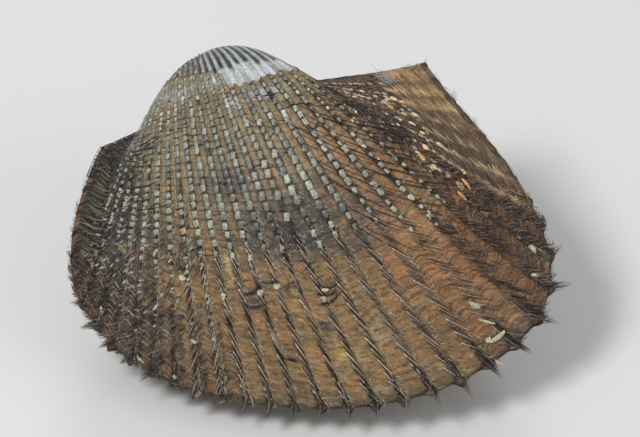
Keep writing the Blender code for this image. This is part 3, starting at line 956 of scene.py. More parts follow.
# Bristles along paths of the shell's frame, each with a colour for its root and one for its tip; fade says
# between which shares of the length the one goes over into the other
def addTubes(hand, name, paths, outward, radius, colour, tipColour=None, fade=None, lowest=0.00004):
    paths[..., 2] = np.maximum(paths[..., 2], lowest)
    points, faces = bristleMesh(paths, outward, radius)
    steps = paths.shape[1]
    along = np.append(np.repeat(np.arange(steps - 1), 3), steps - 1) / (steps - 1)
    along = smooth(*fade, along) if fade else along
    tipColour = colour if tipColour is None else tipColour
    tint = mix(colour[:, None, :], tipColour[:, None, :], along[None, :]).reshape(-1, 3)
    addHanded(hand, name, points, faces, bristleHorn, tint)


# Bristles that lie over the skin, along shares of the margin and turns, at a lift over the valve
def addBristles(hand, name, share, turn, lift, radius, colour, tipColour=None):
    point, normal = onValve(share, turn)[:2]
    addTubes(hand, name, point + normal * lift[..., None], normal, radius, colour, tipColour)


# Height over the valve that clears the ribs: a share of the ridge where a bristle is, and the rest of the
# highest ridge on its way
def overRidges(base, ridge, here):
    return base + here * ridge + (1.0 - here) * ridge.max(axis=1, keepdims=True)


ropes = {
    # knots of rib and value: the turn where the ropes end, their width in ribs, and how far strands drift
    "top": ((0, 0.32), (9, 0.36), (12, 0.40), (13, 0.5), (19, 0.50), (23, 0.44), (25, 0.30), (28, 0.22),
            (31, 0.30), (33, 0.85), (37, 1.1)),
    "spread": ((0, 0.30), (8, 0.34), (12, 0.28), (14, 0.26), (16, 0.16), (22, 0.16), (24, 0.36), (30, 0.44),
               (37, 0.4)),
    "drift": ((0, -0.5), (8, -0.9), (12, -0.4), (14, 0), (22, 0), (25, 0.25), (29, 0.7), (33, 1.0),
              (37, 0.6)),
    "spacing": 0.018,            # turn between strands of a corded furrow
    "tuftSpacing": 0.010,        # and between the looser bristles of the others
    "corded": (11.5, 24.5),
    "tufted": (11.5, 31.5),
    "front": 24.5,               # ribs in front of this have darker tufts
    "leanChange": 22.5,          # and of this, strands that slant the other way
    "length": 0.058,
    "crossing": 0.125,           # how far a strand crosses its furrow, in ribs
    "radius": 0.000070,
    "steps": 6,
    "dark": (30, 23, 22), "pinkGrey": (156, 142, 126), "palest": (228, 218, 200), "glint": (228, 218, 202),
    "frontBrown": (74, 52, 46), "backGrey": (108, 94, 88), "tip": (40, 32, 29),
}


# Ropes: strands that cross their furrow at one slant, dark and pinkish-grey by turns like a laid cord, and
# looser tufts in the furrows on either side of the corded ones
def addRopes(hand, seed):
    pick = np.random.default_rng(seed)
    furrow = np.arange(1.0, shell["ribs"])
    top = atKnots(ropes["top"], furrow) + 0.05
    found = []
    for isCord, spacing, (low, high) in ((True, ropes["spacing"], ropes["corded"]),
                                         (False, ropes["tuftSpacing"], ropes["tufted"])):
        row = np.arange(0.0, 0.75, spacing)
        rib, turn = np.meshgrid(furrow, row, indexing="ij")
        turn = turn + (0.10 if isCord else 0.4) * spacing * pick.standard_normal(turn.shape)
        order = np.broadcast_to(np.arange(len(row)), rib.shape)
        kept = (turn < top[:, None]) & (rib > low) & (rib < high)
        inCords = (rib > ropes["corded"][0]) & (rib < ropes["corded"][1])
        kept &= isCord | (pick.random(rib.shape) < np.where(inCords, 0.35, 1.0))
        found.append((rib[kept], turn[kept], np.full(kept.sum(), isCord), order[kept]))
    rib, turn, corded, number = [np.concatenate(k) for k in zip(*found)]
    count, even, inFront = len(rib), number % 2 == 0, rib > ropes["front"]
    t = np.linspace(0.0, 1.0, ropes["steps"])[None, :]
    cordReach, tuftReach = 0.95 + 0.1 * pick.random(count), 0.6 + 0.6 * pick.random(count)
    reach = ropes["length"] * np.where(corded, cordReach, tuftReach)
    lean = np.where(rib < ropes["leanChange"], -1.0, 1.0)
    wide = atKnots(ropes["spread"], rib) * np.where(corded, 0.25 + 0.6 * smooth(16.0, 13.5, rib), 1.3)
    offset = wide * (pick.random(count) - 0.5)
    path = rib[:, None] + offset[:, None] + ropes["crossing"] * lean[:, None] * (2.0 * t - 1.0)
    path = path + atKnots(ropes["drift"], rib)[:, None] * t * 0.7
    turnPath = np.maximum(turn[:, None] + reach[:, None] * (0.55 - t), -0.004)
    share, shrink = shareAt(path), shrinkAt(turnPath)
    crown = np.where(corded, 0.00014, 0.00016)[:, None] * np.sin(math.pi * np.clip(t, 0.1, 0.95)) ** 0.7
    lift = (0.00014 + crown + 0.85 * ridgeAt(path, share, turnPath)) * shrink
    lift = lift * (0.92 + 0.2 * pick.random((count, 1)))
    thick = np.where(corded, np.where(even, 0.8, 1.15), 0.55) * (0.8 + 0.4 * pick.random(count))
    radius = ropes["radius"] * (1.0 - 0.6 * t ** 3.0) * thick[:, None] * shrink ** 0.5
    tone = pick.random(count)
    isDark = np.where(corded, even ^ (tone < 0.10), tone < np.where(inFront, 0.75, 0.5))
    pale = mix(ropes["pinkGrey"], ropes["palest"], pick.random(count) ** 1.2)
    colour = layered(
        np.where(isDark[:, None], linear(ropes["dark"]) * (0.8 + 0.8 * tone[:, None]), pale),
        (ropes["glint"], (pick.random(count) < 0.05) * corded * 0.8),
        (ropes["frontBrown"], inFront * 0.45),
        (ropes["backGrey"], smooth(16.5, 14.0, rib) * 0.35),
    )
    addBristles(hand, "Ropes", share, turnPath, lift, radius, colour, mix(colour, ropes["tip"], 0.15))


# Paths combed over the valve: each step goes a set distance along a heading laid flat on the surface, and
# is worked back into shares and turns by least squares
def combed(share, turn, heading, length, steps):
    shares, turns = [share], [turn]
    for step in range(steps - 1):
        point, normal, bySection, byTurn = onValve(share, turn)
        way = heading(point, bySection, byTurn, step / (steps - 1))
        way = unit(way - normal * (way * normal).sum(-1, keepdims=True)) * (length / (steps - 1))[:, None]
        aa, bb = (bySection * bySection).sum(-1), (byTurn * byTurn).sum(-1)
        ab = (bySection * byTurn).sum(-1)
        aw, bw = (bySection * way).sum(-1), (byTurn * way).sum(-1)
        full = np.maximum(aa * bb - ab * ab, 1e-12)
        share = np.clip(share + (aw * bb - bw * ab) / full, 0.0, 1.0)
        turn = np.maximum(turn + (bw * aa - aw * ab) / full, -0.02)
        shares.append(share)
        turns.append(turn)
    return np.stack(shares, 1), np.stack(turns, 1)


# Hairs of each kind, combed away from a pole under the valve, along the ribs towards the margin or
# across them; a kind with gather is gathered round a place in every rib, its shift from the furrow
hairs = {
    "Back": {"ribs": (0.1, 10.5), "turns": (0.0, 1.25), "count": 3600, "length": (0.0014, 0.0036),
             "radius": 0.000026, "lift": 0.00004, "wander": 0.07, "away": 1.0, "along": 2.4,
             "dark": (54, 43, 39), "pale": (150, 124, 94), "paleFrom": 0.62},
    "Front": {"ribs": (28.0, 36.9), "turns": (0.09, 1.0), "count": 1300, "length": (0.0012, 0.0034),
              "radius": 0.000040, "lift": 0.00012, "wander": 0.10, "away": 1.0,
              "dark": (34, 32, 30), "pale": (150, 146, 122), "paleFrom": 0.75},
    "Fine": {"ribs": (9.5, 27.5), "turns": (0.0, 1.25), "count": 3000, "length": (0.0005, 0.0014),
             "radius": 0.000022, "lift": 0.00003, "wander": 0.6, "away": 0.3, "down": 0.6,
             "dark": (84, 62, 42), "pale": (190, 170, 132), "paleFrom": 0.15},
    "Feather": {"ribs": (7.6, 11.6), "turns": (0.0, 0.46), "count": 700, "length": (0.0008, 0.0018),
                "radius": 0.000038, "lift": 0.00010, "wander": 0.10, "along": -0.75, "down": 0.75,
                "shift": -0.30, "gather": 0.22, "dark": (62, 44, 37), "pale": (166, 118, 78),
                "paleFrom": 0.20},
    "Tufts": {"ribs": (7.6, 11.4), "turns": (0.0, 0.46), "count": 760, "length": (0.0012, 0.0024),
              "radius": 0.000050, "lift": 0.00022, "wander": 0.09, "along": -0.55, "down": 1.0,
              "shift": -0.05, "gather": 0.12, "dark": (50, 40, 40), "pale": (150, 130, 118), "paleFrom": 0.45,
              "pitch": 0.055},
    "Fuzz": {"ribs": (12.8, 28.4), "turns": (0.0, 0.70), "count": 3000, "length": (0.0004, 0.0011),
             "radius": 0.000028, "lift": 0.00008, "wander": 0.40, "along": -0.5, "down": 0.8,
             "shift": -0.20, "gather": 0.08, "dark": (136, 128, 106), "pale": (206, 204, 182),
             "paleFrom": 0.0},
    "Plume": {"ribs": (22.0, 31.4), "turns": (0.0, 0.26), "count": 1300, "length": (0.0008, 0.0017),
              "radius": 0.000040, "lift": 0.00012, "wander": 0.12, "along": 0.75, "down": 0.8,
              "shift": 0.62, "gather": 0.13, "dark": (46, 35, 33), "pale": (134, 116, 98), "paleFrom": 0.45},
    "Thorns": {"ribs": (9.6, 31.4), "turns": (0.36, 1.25), "count": 700, "length": (0.0005, 0.0013),
               "radius": 0.000080, "lift": 0.00014, "wander": 0.35, "away": 0.2, "along": -0.3, "down": 0.8,
               "gather": 0.05, "dark": (30, 26, 24), "pale": (76, 62, 50), "paleFrom": 0.5},
    "Strays": {"ribs": (8.0, 30.0), "turns": (0.45, 1.3), "count": 170, "length": (0.0010, 0.0036),
               "radius": 0.000085, "lift": 0.00010, "wander": 0.25, "along": 1.0, "down": 0.12,
               "dark": (30, 25, 23), "pale": (70, 58, 46), "paleFrom": 0.6},
}
plainHairs = {"away": 0.0, "along": 0.0, "down": 0.0, "shift": 0.0, "gather": 0.0}      # where none is given
hairPole = np.array([-0.0065, -0.013, 0.010])
goldenHairs = {"dark": (112, 86, 58), "pale": (190, 156, 112), "row": (224, 200, 156)}  # near the back margin


def addHairs(hand, kind, seed, rowSeed):
    pick = np.random.default_rng(seed)
    facts = {**plainHairs, **hairs[kind]}
    count, steps = facts["count"], 6
    rib = between(facts["ribs"], pick.random(count))
    if facts["gather"] > 0.0:
        rib = np.round(rib) + facts["shift"] + facts["gather"] * pick.standard_normal(count)
        rib = np.clip(rib, 0.02, shell["ribs"] - 0.02)
    turn = between(facts["turns"], pick.random(count) ** 1.15)
    if kind == "Tufts":
        turn = (np.floor(turn / facts["pitch"]) + 0.5 + 0.26 * pick.standard_normal(count)) * facts["pitch"]
    length = between(facts["length"], pick.random(count) ** 1.6) * np.exp(-0.6 * turn)
    wander = facts["wander"] * pick.standard_normal((count, 3))
    curl = 0.5 * facts["wander"] * pick.standard_normal((count, 3))
    along = facts["along"] * np.where(pick.random(count) < 0.8, 1.0, 0.3)
    fromPole = facts["away"] + 0.0 * along
    if kind == "Back":
        nearMargin = smooth(0.50, 0.25, turn)
        along, fromPole = along * nearMargin, 1.0 - 0.85 * nearMargin
    if kind == "Strays":
        along = along * np.where(pick.random(count) < 0.5, 1.0, -1.0)

    def heading(point, bySection, byTurn, t):
        away = fromPole[:, None] * unit(point - hairPole) - facts["down"] * unit(byTurn)
        return away + wander + curl * t + unit(bySection) * along[:, None]

    shares, turns = combed(shareAt(rib), turn, heading, length, steps)
    t = np.linspace(0.0, 1.0, steps)[None, :]
    rise = facts["lift"] * (0.3 + 1.4 * pick.random((count, 1)))
    over = overRidges(0.00006, ridgeAt(ribAt(shares), shares, turns), 0.5)
    lift = (over + rise * np.sin(math.pi * 0.75 * t)) * shrinkAt(turns)
    radius = facts["radius"] * (1.0 - 0.8 * t ** 1.3) * (0.7 + 0.7 * pick.random((count, 1)))
    tone = smooth(facts["paleFrom"], 1.0, pick.random(count))
    colour = mix(facts["dark"], facts["pale"], tone)
    if kind == "Back":
        golden = smooth(0.30, 0.10, turn) * (0.25 + 0.6 * smooth(4.2, 2.8, rib))
        inRow = inBackRow(ribAt(shares[:, 2]), turns[:, 2], rowSeed)
        colour = layered(colour, (mix(goldenHairs["dark"], goldenHairs["pale"], tone), golden),
                         (goldenHairs["row"], np.clip(1.2 * inRow, 0.0, 0.9)))
    addBristles(hand, kind, shares, turns, lift, radius, colour)


bands = {
    "Front": {"ribs": (22, 31), "onRib": 0.36, "turns": (0.01, 0.32), "pitch": 0.0205, "radius": 0.000105,
              "half": 0.28, "drop": 0.022, "lean": 0.25, "kept": 0.92,
              "above": ((82, 72, 68), (164, 148, 132)), "below": ((88, 64, 46), (150, 114, 80))},
    "Back": {"ribs": (8, 13), "onRib": 0.50, "turns": (0.01, 0.44), "pitch": 0.0165, "radius": 0.000075,
             "half": 0.33, "drop": 0.030, "lean": 0.10, "kept": 0.80,
             "above": ((86, 60, 46), (162, 114, 76)), "below": ((76, 57, 50), (148, 116, 96))},
}


# Bands: thin arched ridges stacked on a part of each rib, one colour above and another below
def addBands(hand, kind, seed):
    pick = np.random.default_rng(seed)
    facts = bands[kind]
    column = np.arange(*facts["ribs"])
    row = np.arange(*facts["turns"], facts["pitch"])
    rib, turn = everyPlace(column + facts["onRib"], row)
    top = facts["turns"][1]
    kept = pick.random(len(rib)) < facts["kept"] - 0.6 * smooth(top - 0.1, top, turn)
    rib, turn = rib[kept], turn[kept]
    count = len(rib)
    turn = turn + 0.10 * facts["pitch"] * pick.standard_normal(count)
    t = np.linspace(-1.0, 1.0, 8)[None, :]
    half = facts["half"] * (0.85 + 0.3 * pick.random((count, 1)))
    ribPath = rib[:, None] + 0.03 * pick.standard_normal((count, 1)) + half * t
    turnPath = np.maximum(turn[:, None] - facts["drop"] * (0.55 * t ** 2 - facts["lean"] * t), 0.001)
    share = shareAt(ribPath)
    lift = facts["radius"] + 0.00002 + 0.95 * ridgeAt(ribPath, share, turnPath) * shrinkAt(turnPath)
    radius = facts["radius"] * (1.0 - 0.6 * t ** 4) * (0.7 + 0.5 * pick.random((count, 1)))
    tone = pick.random(count) ** 1.3
    below = smooth(0.13, 0.06, turn + 0.03 * pick.standard_normal(count))
    colour = mix(mix(*facts["above"], tone), mix(*facts["below"], tone), below)
    addBristles(hand, kind + "Bands", share, turnPath, lift, radius, colour)


comb = {
    "starts": (31.9, 36.5),
    "pitch": 0.15,               # ribs from one group of strands to the next
    "strands": 5,
    "paleStrands": 2,
    "radius": 0.000064,
    "bend": 1.35,
    # knots of the rib where a strand starts: ribs crossed for each turn, and the turn where it ends
    "slope": ((31.9, 11.0), (32.8, 9.2), (34.05, 8.6), (35.45, 6.8), (36.4, 4.9)),
    "end": ((31.9, 0.30), (32.8, 0.40), (34.05, 0.48), (35.45, 0.54), (36.4, 0.50)),
    "olive": (92, 88, 70), "straw": (178, 174, 130), "dark": (24, 23, 22), "root": (64, 52, 42),
}


# Comb: level strokes from the front margin inwards, pale and dark by turns. A strand's rib falls with a
# power of its way up, and the strands of one group share four random numbers.
def addComb(hand, seed):
    pick = np.random.default_rng(seed)
    strands = comb["strands"]
    groups = int((comb["starts"][1] - comb["starts"][0]) / comb["pitch"])
    count = groups * strands
    shift, wave, cut, tilt = np.repeat(pick.random((4, groups)), strands, axis=1)
    start = comb["starts"][0] + comb["pitch"] * (np.arange(count) / strands + 0.35 * (shift - 0.5))
    t = np.linspace(0.0, 1.0, 9)[None, :]
    low = 0.065 + (0.03 * pick.random(count) + 0.05 * wave ** 3)[:, None]
    high = (atKnots(comb["end"], start) * (1.0 - 0.35 * cut ** 2))[:, None]
    turn = low + (high - low) * t
    slope = atKnots(comb["slope"], start)[:, None] * (1.0 + 0.12 * (tilt[:, None] - 0.5))
    fall = slope * (high - low) * t ** comb["bend"]
    rib = start[:, None] - slope * (low - 0.10) - fall + 0.014 * np.sin(9.0 * t + 6.3 * wave[:, None])
    rib = rib + 0.015 * pick.standard_normal((count, 1))
    isPale = (np.arange(count) % strands < comb["paleStrands"])[:, None]
    share = shareAt(rib)
    lift = overRidges(np.where(isPale, 0.00020, 0.00024), ridgeAt(rib, share, turn), 0.0) * shrinkAt(turn)
    swell = np.sin(math.pi * np.clip(0.10 + 0.78 * t, 0.0, 1.0)) ** 0.7
    radius = comb["radius"] * swell * (0.7 + 0.5 * pick.random((count, 1)))
    tone = np.clip(0.7 * tilt + 0.4 * pick.random(count), 0.0, 1.0) ** 1.3
    colour = np.where(isPale, mix(comb["olive"], comb["straw"], tone), linear(comb["dark"]))
    addBristles(hand, "Comb", share, turn, lift, radius, mix(colour, comb["root"], 0.6), colour)


# Strokes: single dark hairs from the growth rows, crossing the ribs at a set rise of turn for each rib;
# reach is in ribs
strokes = {
    "Long": {"ribs": (8, 15), "turns": (0.50, 1.15), "reach": (0.9, 2.2), "rise": -0.115, "radius": 0.000062,
             "kept": 0.80},
    "Short": {"ribs": (14, 19), "turns": (0.55, 1.10), "reach": (0.5, 1.1), "rise": -0.09, "radius": 0.000045,
              "kept": 0.22},
    "Level": {"ribs": (28, 36), "turns": (0.56, 1.05), "reach": (1.2, 4.0), "rise": 0.030, "radius": 0.000070,
              "kept": 0.55},
}
strokeColours = (24, 20, 19), (66, 50, 40)


def addStrokes(hand, kind, seed, rowSeed):
    pick = np.random.default_rng(seed)
    facts = strokes[kind]
    steps = growthRows["first"] + np.arange(40) * growthRows["pitch"]
    rib, turn = everyPlace(np.arange(*facts["ribs"]) + 0.0, steps)
    turn = turn + rowDrift(rib, turn, rowSeed) + 0.006 * pick.standard_normal(len(rib))
    low, high = facts["turns"]
    kept = (turn > low) & (turn < high) & (pick.random(len(rib)) < facts["kept"])
    rib, turn = rib[kept], turn[kept]
    count = len(rib)
    rib = rib + 0.15 * pick.standard_normal(count)
    t = np.linspace(0.0, 1.0, 9)[None, :]
    reach = between(facts["reach"], pick.random(count))[:, None]
    rise = facts["rise"] * (0.85 + 0.3 * pick.random((count, 1)))
    ribPath = np.maximum(rib[:, None] - reach * t, 0.0)
    turnPath = turn[:, None] + rise * reach * t + 0.008 * pick.standard_normal((count, 1)) * t ** 2
    share = shareAt(ribPath)
    over = overRidges(0.00012, ridgeAt(ribPath, share, turnPath), 0.4)
    lift = (over + 0.0002 * np.sin(2.6 * t)) * shrinkAt(turnPath)
    radius = facts["radius"] * (1.0 - 0.8 * t ** 1.5) * (0.7 + 0.7 * pick.random((count, 1)))
    colour = mix(*strokeColours, pick.random(count) ** 2)
    addBristles(hand, kind, share, turnPath, lift, radius, colour)


# Threads that stand off the skin: rib range, turn range, count, length, radius, heading by section, by turn
# and along the normal, scatter, colour
threads = (
    (0.0, 12.0, 0.0, 0.012, 260, 0.0006, 0.000018, 0.3, -1.0, 0.3, 0.40, (170, 150, 122)),
    (24.0, 36.5, 0.0, 0.012, 220, 0.0007, 0.000018, 0.3, -1.0, 0.3, 0.50, (150, 136, 116)),
    (0.1, 0.9, 0.27, 0.36, 26, 0.0020, 0.000036, 1.0, -0.2, 0.15, 0.35, (176, 188, 198)),
    (0.0, 0.5, 0.27, 0.36, 9, 0.0012, 0.000040, 0.0, 0.3, 0.6, 0.50, (186, 198, 206)),
    (0.0, 0.3, 0.0, 0.16, 34, 0.0009, 0.000040, 0.0, 0.2, 0.5, 0.70, (136, 140, 72)),
    (1.8, 2.1, 0.0, 0.01, 9, 0.0016, 0.000030, -0.5, -0.6, 0.6, 0.35, (190, 196, 198)),
    (3.2, 3.4, 0.0, 0.01, 6, 0.0011, 0.000030, -0.5, -0.6, 0.6, 0.35, (190, 196, 198)),
    (8.0, 9.1, 0.0, 0.03, 40, 0.0018, 0.000034, 1.0, -0.35, 0.2, 0.25, (176, 178, 166)),
    (13.75, 13.85, 0.0, 0.02, 5, 0.0018, 0.000070, 0.1, -1.0, 0.1, 0.05, (176, 164, 146)),
    (12.75, 12.85, 0.0, 0.02, 6, 0.0030, 0.000075, -0.1, -1.0, 0.1, 0.04, (200, 190, 170)),
    (25.7, 26.9, 0.0, 0.02, 9, 0.0016, 0.000060, 0.3, -1.0, 0.1, 0.12, (190, 182, 164)),
)


# Each thread runs straight along its heading and bends away with the square of its length
def addThreads(hand, seed):
    pick = np.random.default_rng(seed)
    counts = [row[4] for row in threads]
    rows = np.repeat(np.array([row[:-1] for row in threads]), counts, axis=0)
    ribFrom, ribTo, turnFrom, turnTo = rows.T[:4]
    length, radius, alongSection, alongTurn, alongNormal, scatter = rows.T[5:]
    colour = np.repeat(np.array([linear(row[-1]) for row in threads]), counts, axis=0)
    count = len(rows)
    rib = between((ribFrom, ribTo), pick.random(count))
    turn = between((turnFrom, turnTo), pick.random(count))
    point, normal, bySection, byTurn = onValve(shareAt(rib), turn)
    heading = (unit(bySection) * alongSection[:, None] + unit(byTurn) * alongTurn[:, None]
               + normal * alongNormal[:, None])
    heading = unit(heading + scatter[:, None] * pick.standard_normal((count, 3)))
    curl = scatter[:, None] * pick.standard_normal((count, 3)) * 0.8
    t = np.linspace(0.0, 1.0, 6)[None, :, None]
    length = (length * (0.5 + 0.6 * pick.random(count)))[:, None, None]
    paths = heading[:, None, :] * t + curl[:, None, :] * t ** 2 * 0.5
    paths = (point + normal * 0.0002)[:, None, :] + length * paths
    radius = radius[:, None] * (1.0 - 0.7 * t[..., 0]) * (0.7 + 0.5 * pick.random((count, 1)))
    colour = colour * (0.7 + 0.6 * pick.random((count, 1)))
    addTubes(hand, "Threads", paths, np.broadcast_to(normal[:, None, :], paths.shape), radius, colour,
             lowest=0.00005)


web = {
    "columnsPerRib": 10,
    "rows": 7,
    "reach": 0.00030,            # past the margin between furrows
    "peakReach": 0.0014,         # and at them
    "ragged": 0.00016,
    "thickness": 0.00007,
    "lowest": 0.00003,
    "span": ((0, 0.12), (6, 0.25), (9, 1.0), (29, 0.9), (31, 0.25), (37, 0.15)),    # rib, share of the reach
    "dark": (58, 48, 40), "pale": (112, 98, 80),
}
spikes = {
    "tuft": 26,                  # bristles at each furrow's end
    "reach": 0.0031,
    "radius": 0.00008,
    "rootPart": 0.4,             # share of a bristle that lies on the valve
    # knots of rib and value: share of the bristles kept, their slant in ribs, and the share of their reach
    "kept": ((6, 0.0), (7, 0.3), (9, 1.0), (29, 1.0), (32, 0.35), (34, 0.1), (36, 0.0)),
    "skew": ((0, -0.45), (9, -0.25), (18, 0.0), (26, 0.3), (37, 0.5)),
    "span": ((0, 0.2), (7, 0.35), (10, 1.15), (14, 1.15), (16, 1.0), (29, 0.8), (31, 0.45), (36, 0.25)),
    "dark": (44, 35, 32), "pale": (156, 140, 122), "tip": (206, 198, 180),
}


# Point past the margin: the margin point moved out in the meeting plane, square to the margin
def pastMargin(share, reach, rise):
    x, y, slopeX, slopeY = marginAt(share)
    slope = unit(np.stack([slopeX, slopeY], -1))
    return np.stack([x - slope[..., 1] * reach, y + slope[..., 0] * reach, rise], -1)


# Webs between the spikes: a thin closed sheet from the skin's edge out to a scalloped rim, whose reach
# falls off with a power of the distance from a furrow
def addWeb(hand, seed, pick):
    rib = np.arange(shell["ribs"] * web["columnsPerRib"] + 1) / web["columnsPerRib"]
    share = shareAt(rib)
    phase = np.abs(rib - np.round(rib))
    furrow = np.arange(shell["ribs"] + 1)
    peak = np.interp(rib, furrow, web["peakReach"] * (0.55 + 0.6 * pick.random(len(furrow))))
    reach = web["reach"] + (peak - web["reach"]) * (1.0 - smooth(0.0, 0.5, phase)) ** 2.2
    reach = reach * atKnots(web["span"], rib)
    reach = reach + web["ragged"] * (noise(rib * 3.0, rib * 0.0, seed, 2) - 0.5)
    t = np.linspace(0.0, 1.0, web["rows"])[:, None]
    point, normal = onValve(share[None, :], 0.03 * (1.0 - np.minimum(t * 3.0, 1.0)) + 0.0 * rib[None, :])[:2]
    away = np.clip(t * 1.5 - 0.5, 0.0, 1.0) * reach[None, :]
    beyond = pastMargin(np.broadcast_to(share[None, :], away.shape), away, 0.00022 * (1.0 - t) + 0.0 * away)
    sheet = np.where((t > 0.34)[..., None], beyond, point + normal * 0.00015)
    sheet[..., 2] = np.maximum(sheet[..., 2], web["lowest"]) + web["thickness"]
    under = sheet.copy()
    under[..., 2] -= web["thickness"] * 0.9
    rows, columns = sheet.shape[:2]
    points = np.concatenate([sheet, under[:, ::-1]], axis=1)
    loop = points.shape[1]
    k = np.arange(columns - 1)
    cap = np.stack([k, k + 1, loop - 2 - k, loop - 1 - k], -1)
    faces = [ringFaces(rows, loop), cap[:, ::-1], cap + (rows - 1) * loop]
    broken = noise(rib[None, :] * 2.0, t * 3.0 + 3.0, seed + 1, 2)
    colour = mix(web["dark"], web["pale"], smooth(0.5, 0.8, broken))
    tint = np.concatenate([colour, colour[:, ::-1]], axis=1).reshape(-1, 3)
    addHanded(hand, "FringeWeb", points.reshape(-1, 3), faces, webFilm, tint)


# Spikes: tufts that gather at each furrow's end and run out past the margin, one long bristle in some
def addSpikes(hand, pick):
    tufts = np.repeat(np.arange(1, shell["ribs"]), spikes["tuft"]).astype(float)
    kept = pick.random(len(tufts)) < atKnots(spikes["kept"], tufts)
    tufts = tufts[kept]
    count = len(tufts)
    t = np.linspace(0.0, 1.0, 7)[None, :]
    spread = 0.13 * pick.standard_normal((count, 1))
    skew = atKnots(spikes["skew"], tufts)[:, None] + 0.04 * pick.standard_normal((count, 1))
    share = shareAt(tufts[:, None] + spread * (1.0 - t) ** 0.7 + skew * t ** 2)
    tuftReach = np.repeat(0.60 + 0.40 * pick.random(shell["ribs"] - 1), spikes["tuft"])[kept, None]
    reach = spikes["reach"] * tuftReach * (0.35 + 0.65 * pick.random((count, 1)) ** 1.5)
    reach = reach * atKnots(spikes["span"], tufts)[:, None]
    root = spikes["rootPart"]
    inside = (0.05 + 0.03 * pick.random((count, 1))) * np.clip(1.0 - t / root, 0.0, 1.0)
    outside = np.clip((t - root) / (1.0 - root), 0.0, 1.0) * reach
    point, normal = onValve(share, inside)[:2]
    rise = 0.00025 * (1.0 - t) + 0.0004 * np.sin(math.pi * t) * pick.random((count, 1))
    paths = np.where((t > root)[..., None], pastMargin(share, outside, rise + 0.0 * outside),
                     point + normal * 0.0003)
    radius = spikes["radius"] * (1.0 - 0.85 * t) * (0.5 + 0.7 * pick.random((count, 1)))
    colour = mix(spikes["dark"], spikes["pale"], smooth(0.55, 1.0, pick.random(count)))
    tip = mix(colour, spikes["tip"], smooth(0.80, 0.88, pick.random(count)) * 0.8)
    addTubes(hand, "FringeSpikes", paths, normal, radius, colour, tip, fade=(0.6, 1.0))


# Scars and strays of the left valve: dark arcs and cracks from one rib and turn to another, each sagging
# towards the margin by its bow, and pale chips, by rib, turn, half sizes, skew and brightness, which is
# under 0 for a rusty one
scars = {
    "arcs": ((17.1, 0.376, 16.05, 0.368, 0.014), (17.25, 0.346, 16.2, 0.356, 0.010),
             (17.3, 0.317, 16.25, 0.342, 0.012), (20.9, 0.360, 19.9, 0.388, 0.008),
             (21.1, 0.325, 19.9, 0.330, 0.010), (19.7, 0.400, 18.8, 0.404, 0.004),
             (24.6, 0.425, 23.7, 0.430, 0.004), (19.9, 0.150, 19.3, 0.142, -0.004),
             (14.1, 1.090, 11.9, 1.085, -0.008), (18.7, 0.860, 17.0, 0.850, 0.006),
             (23.1, 1.000, 20.3, 1.005, 0.005), (25.1, 1.110, 22.0, 1.115, -0.006),
             (16.4, 0.955, 15.3, 0.985, 0.004), (13.1, 0.930, 12.0, 0.980, 0.006),
             (15.6, 1.210, 13.0, 1.200, 0.004), (21.0, 0.800, 19.6, 0.790, 0.008)),
    "arcHairs": 3,
    "arcScatter": (0.05, 0.0025, 0.05, 0.0025, 0.0),
    "arcRadius": 0.00012,
    "arcColour": (26, 22, 20),
    "chips": ((17.03, 0.329, 0.26, 0.010, 0.0, 0.9), (16.75, 0.358, 0.18, 0.006, 0.1, 0.9),
              (20.1, 0.364, 0.30, 0.011, 0.2, 0.8), (19.1, 0.383, 0.30, 0.009, 0.0, 0.8),
              (22.1, 0.345, 0.16, 0.012, 0.1, 0.9), (24.3, 0.390, 0.22, 0.010, 0.2, 0.8),
              (8.58, 0.510, 0.20, 0.013, -0.5, -0.8), (7.98, 0.530, 0.16, 0.010, -0.6, 1.0),
              (12.1, 0.146, 0.30, 0.0080, 1.05, 0.7), (12.15, 0.092, 0.36, 0.0036, 1.05, 0.7),
              (12.23, 0.042, 0.32, 0.0060, 0.05, 0.8), (12.0, 0.030, 0.24, 0.0045, 0.0, 0.9),
              (12.5, 0.052, 0.10, 0.0080, 0.3, 0.9),
              (9.15, 0.058, 0.16, 0.0090, -1.2, 0.8), (10.03, 0.034, 0.26, 0.0030, 0.3, 0.8),
              (9.10, 0.326, 0.34, 0.0120, -0.7, -0.4), (8.93, 0.372, 0.24, 0.0110, -0.7, -0.3),
              (8.97, 0.286, 0.30, 0.0090, -0.7, -0.3), (8.2, 0.300, 0.26, 0.0080, -0.7, -0.2),
              (28.9, 0.075, 0.20, 0.008, 0.5, 0.8), (27.0, 0.105, 0.14, 0.010, 0.4, 0.8),
              (26.6, 0.020, 0.22, 0.006, 0.4, 0.6), (25.1, 0.012, 0.18, 0.008, 0.2, 0.6)),
    "chipHeight": 0.00022,
    "dull": (120, 110, 84), "bright": (190, 186, 154), "rusty": (204, 148, 74),
}


